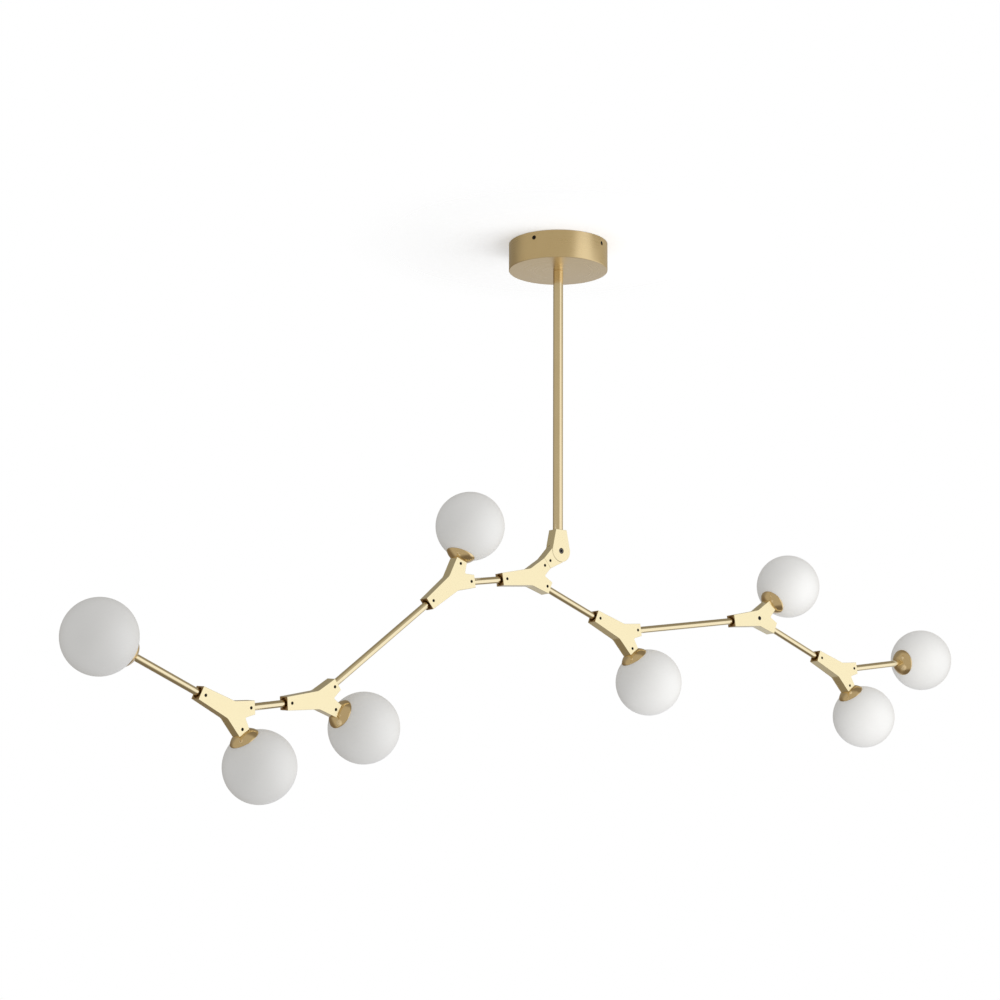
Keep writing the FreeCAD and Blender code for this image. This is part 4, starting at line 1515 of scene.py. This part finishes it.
@dataclass(frozen=True)
class Softbox:
    """A square lamp that faces a point, and that no reflection shows."""

    name: str
    position: Spot
    target: Spot
    size: float
    power: float
    spread: float = 180.0

    def hang(self) -> None:
        """Put the lamp in the scene."""
        data = bpy.data.lights.new(self.name, "AREA")
        data.shape = "SQUARE"
        data.size = self.size
        data.energy = self.power
        data.spread = math.radians(self.spread)
        lamp = put_in_scene(self.name, data)
        lamp.visible_camera = False
        lamp.visible_glossy = False
        aim = (Vector(self.target) - Vector(self.position)).to_track_quat("-Z", "Y")
        lamp.matrix_world = Matrix.Translation(self.position) @ aim.to_matrix().to_4x4()


@dataclass(frozen=True)
class Surface:
    """A white disc of the studio that keeps the object's shadow and fades out at its edge.

    It shows from the object's side only, so that it never hides the object.
    """

    name: str
    height: float
    radius: float
    faces_down: bool
    solid_share: float
    lift: float
    colour: float = 0.86

    def build(self, graph: Graph) -> None:
        """White that the camera sees a little brighter, see-through from behind and past its edge.

        Args:
            graph: The material's graph.
        """
        flat = graph.scaled(place_of(graph, Place.OBJECT), (1.0, 1.0, 0.0))
        distance = graph.vector("LENGTH", {0: flat}, "Value")
        fade = graph.eased(distance, self.radius * self.solid_share, self.radius, 1.0, 0.0)
        behind = graph.wire("ShaderNodeNewGeometry", {}, {}, "Backfacing")
        seen = graph.wire("ShaderNodeLightPath", {}, {}, "Is Camera Ray")
        matt = graph.wire("ShaderNodeBsdfDiffuse", {}, {"Color": (*(self.colour,) * 3, 1.0)})
        glow = graph.wire("ShaderNodeEmission", {}, {"Color": WHITE, "Strength": self.lift})
        lifted = graph.wire("ShaderNodeAddShader", {}, {0: matt, 1: glow})
        lit = graph.wire("ShaderNodeMixShader", {}, {0: seen, 1: matt, 2: lifted})
        graph.finish(graph.see_through(fade * (1.0 - behind), lit))

    def lay(self) -> None:
        """Put the disc in the scene."""
        disc = Stock()
        bmesh.ops.create_circle(disc.mesh, cap_ends=True, segments=96, radius=self.radius,
                                matrix=Matrix.Translation((0.0, 0.0, self.height)))
        if self.faces_down:
            bmesh.ops.reverse_faces(disc.mesh, faces=disc.mesh.faces)
        made = disc.as_object(self.name)
        made.data.materials.append(new_material(self.name, self.build))
        made.visible_glossy = False


@dataclass(frozen=True)
class Patch:
    """A round patch of a tent's wall, by the direction in which it is seen from the tent's middle.

    It is whole up to the inner of its two angles, in degrees, and gone at the outer one.
    """

    direction: Spot
    inner: float
    outer: float
    tone: Colour = WHITE[:3]

    def mask(self, graph: Graph, way: Wire) -> Wire:
        """One inside the patch and zero outside it.

        Args:
            graph: The material's graph.
            way: The direction from the tent's middle.

        Returns:
            A number from 0 to 1.
        """
        aim = tuple(Vector(self.direction).normalized())
        near = graph.vector("DOT_PRODUCT", {0: way, 1: aim}, "Value")
        return graph.eased(near, math.cos(math.radians(self.outer)), math.cos(math.radians(self.inner)),
                           0.0, 1.0)


@dataclass(frozen=True)
class Tent:
    """A tent of grey cloth that only reflections show, with windows on the white studio."""

    middle: Spot = (0.0, 0.0, -0.5)
    radius: float = 7.0
    cloth: Colour = (0.50, 0.465, 0.39)
    windows: tuple[Patch, ...] = (
        Patch((0.41, -0.91, -0.03), 22.0, 34.0),
        Patch((0.75, -0.59, -0.31), 26.0, 38.0),
    )
    shades: tuple[Patch, ...] = (
        Patch((0.08, 0.88, 0.47), 20.0, 60.0, (0.30, 0.28, 0.24)),
        Patch((-0.16, 0.91, -0.37), 15.0, 45.0, (0.21, 0.17, 0.12)),
        Patch((0.51, -0.43, 0.74), 14.0, 34.0, (0.30, 0.27, 0.22)),
        Patch((0.30, 0.10, 0.95), 20.0, 48.0, (0.26, 0.23, 0.18)),
        Patch((0.30, 0.10, -0.95), 20.0, 48.0, (0.20, 0.17, 0.13)),
        Patch((0.66, 0.68, -0.31), 10.0, 26.0, (0.56, 0.57, 0.62)),
    )

    def build(self, graph: Graph) -> None:
        """Grey cloth with darker and lighter patches, see-through at the windows.

        Args:
            graph: The material's graph.
        """
        out = graph.vector("SUBTRACT", {0: place_of(graph, Place.OBJECT), 1: self.middle})
        way = graph.vector("NORMALIZE", {0: out})
        tone: Wire | Colour = self.cloth
        for shade in self.shades:
            tone = graph.blend(shade.mask(graph, way), tone, shade.tone)
        closed: Number = 1.0
        for window in self.windows:
            closed = closed * (1.0 - window.mask(graph, way))
        cloth = graph.wire("ShaderNodeEmission", {}, {"Color": tone, "Strength": 1.0})
        graph.finish(graph.see_through(closed, cloth))

    def pitch(self) -> None:
        """Put the tent in the scene, where only reflections show it."""
        cloth = Stock()
        bmesh.ops.create_icosphere(cloth.mesh, subdivisions=5, radius=self.radius,
                                   matrix=Matrix.Translation(self.middle))
        tent = cloth.as_object("tent")
        tent.data.materials.append(new_material("tent_cloth", self.build))
        for ray in ("camera", "diffuse", "transmission", "shadow"):
            setattr(tent, f"visible_{ray}", False)


@dataclass(frozen=True)
class Studio:
    """The white studio, its lamps and its camera."""

    fill: float = 0.604
    lens: float = 80.71
    sensor: float = 36.0
    position: Spot = (-2.0469, -2.5700, -1.0196)
    yaw: float = 37.03
    pitch: float = 10.74
    roll: float = 0.35
    lamps: tuple[Softbox, ...] = (
        Softbox("key", (0.626, -0.90, -0.205), target=(0.30, 0.0, -0.60), size=1.86, power=5.78),
        Softbox("lower_lamp", (0.411, -0.80, -1.524), target=(0.55, 0.0, -0.65), size=0.80, power=5.0),
        Softbox("canopy_lamp", (0.46, -0.34, -0.40), target=(0.0, 0.0, 0.0), size=0.45, power=0.18,
                spread=60.0),
    )
    surfaces: tuple[Surface, ...] = (
        Surface("ceiling", height=0.5 * MM, radius=0.34, faces_down=True, solid_share=0.35, lift=0.29),
        Surface("floor", height=-2.6, radius=2.2, faces_down=False, solid_share=0.3, lift=0.35),
    )

    def light(self) -> None:
        """Light the studio: a white background, a softer fill, and the lamps."""
        world = bpy.data.worlds.new("studio")
        world.use_nodes = True
        graph = Graph(world.node_tree)
        path = graph.node("ShaderNodeLightPath", {}, {})
        camera, mirror, glass = (Wire(graph, path.outputs[name])
                                 for name in ("Is Camera Ray", "Is Glossy Ray", "Is Transmission Ray"))
        strength = self.fill + (1.0 - self.fill) * (camera + mirror + glass).clamped()
        background = graph.wire("ShaderNodeBackground", {}, {"Color": WHITE, "Strength": strength})
        graph.node("ShaderNodeOutputWorld", {}, {"Surface": background})
        bpy.context.scene.world = world
        for lamp in self.lamps:
            lamp.hang()

    def stand_camera(self) -> None:
        """Stand the camera where the photograph was taken."""
        data = bpy.data.cameras.new("camera")
        data.lens = self.lens
        data.sensor_width = self.sensor
        camera = put_in_scene("camera", data)
        aim = turn("Z", -self.yaw) @ turn("X", 90.0 + self.pitch) @ turn("Z", self.roll)
        camera.matrix_world = Matrix.Translation(self.position) @ aim
        bpy.context.scene.camera = camera

    def build(self) -> None:
        """Set up the whole studio."""
        bpy.context.scene.view_settings.view_transform = "Standard"
        self.light()
        self.stand_camera()
        Tent().pitch()
        for surface in self.surfaces:
            surface.lay()


def main() -> None:
    """Build the chandelier's looks round the frame."""
    logging.basicConfig(level=logging.INFO, format="%(name)s: %(message)s")
    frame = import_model()
    Studio().build()
    dresser = Dresser(frame, Rack())
    Canopy().dress(dresser)
    DownRod().dress(dresser)
    Branch().dress(dresser)
    dresser.coat_node("ceiling_bracket", ZINC)
    dresser.coat_node("terminal_block", CERAMIC)
    dresser.coat_node("ceiling_fasteners", BLACK_STEEL)


if __name__ == "__main__":
    main()
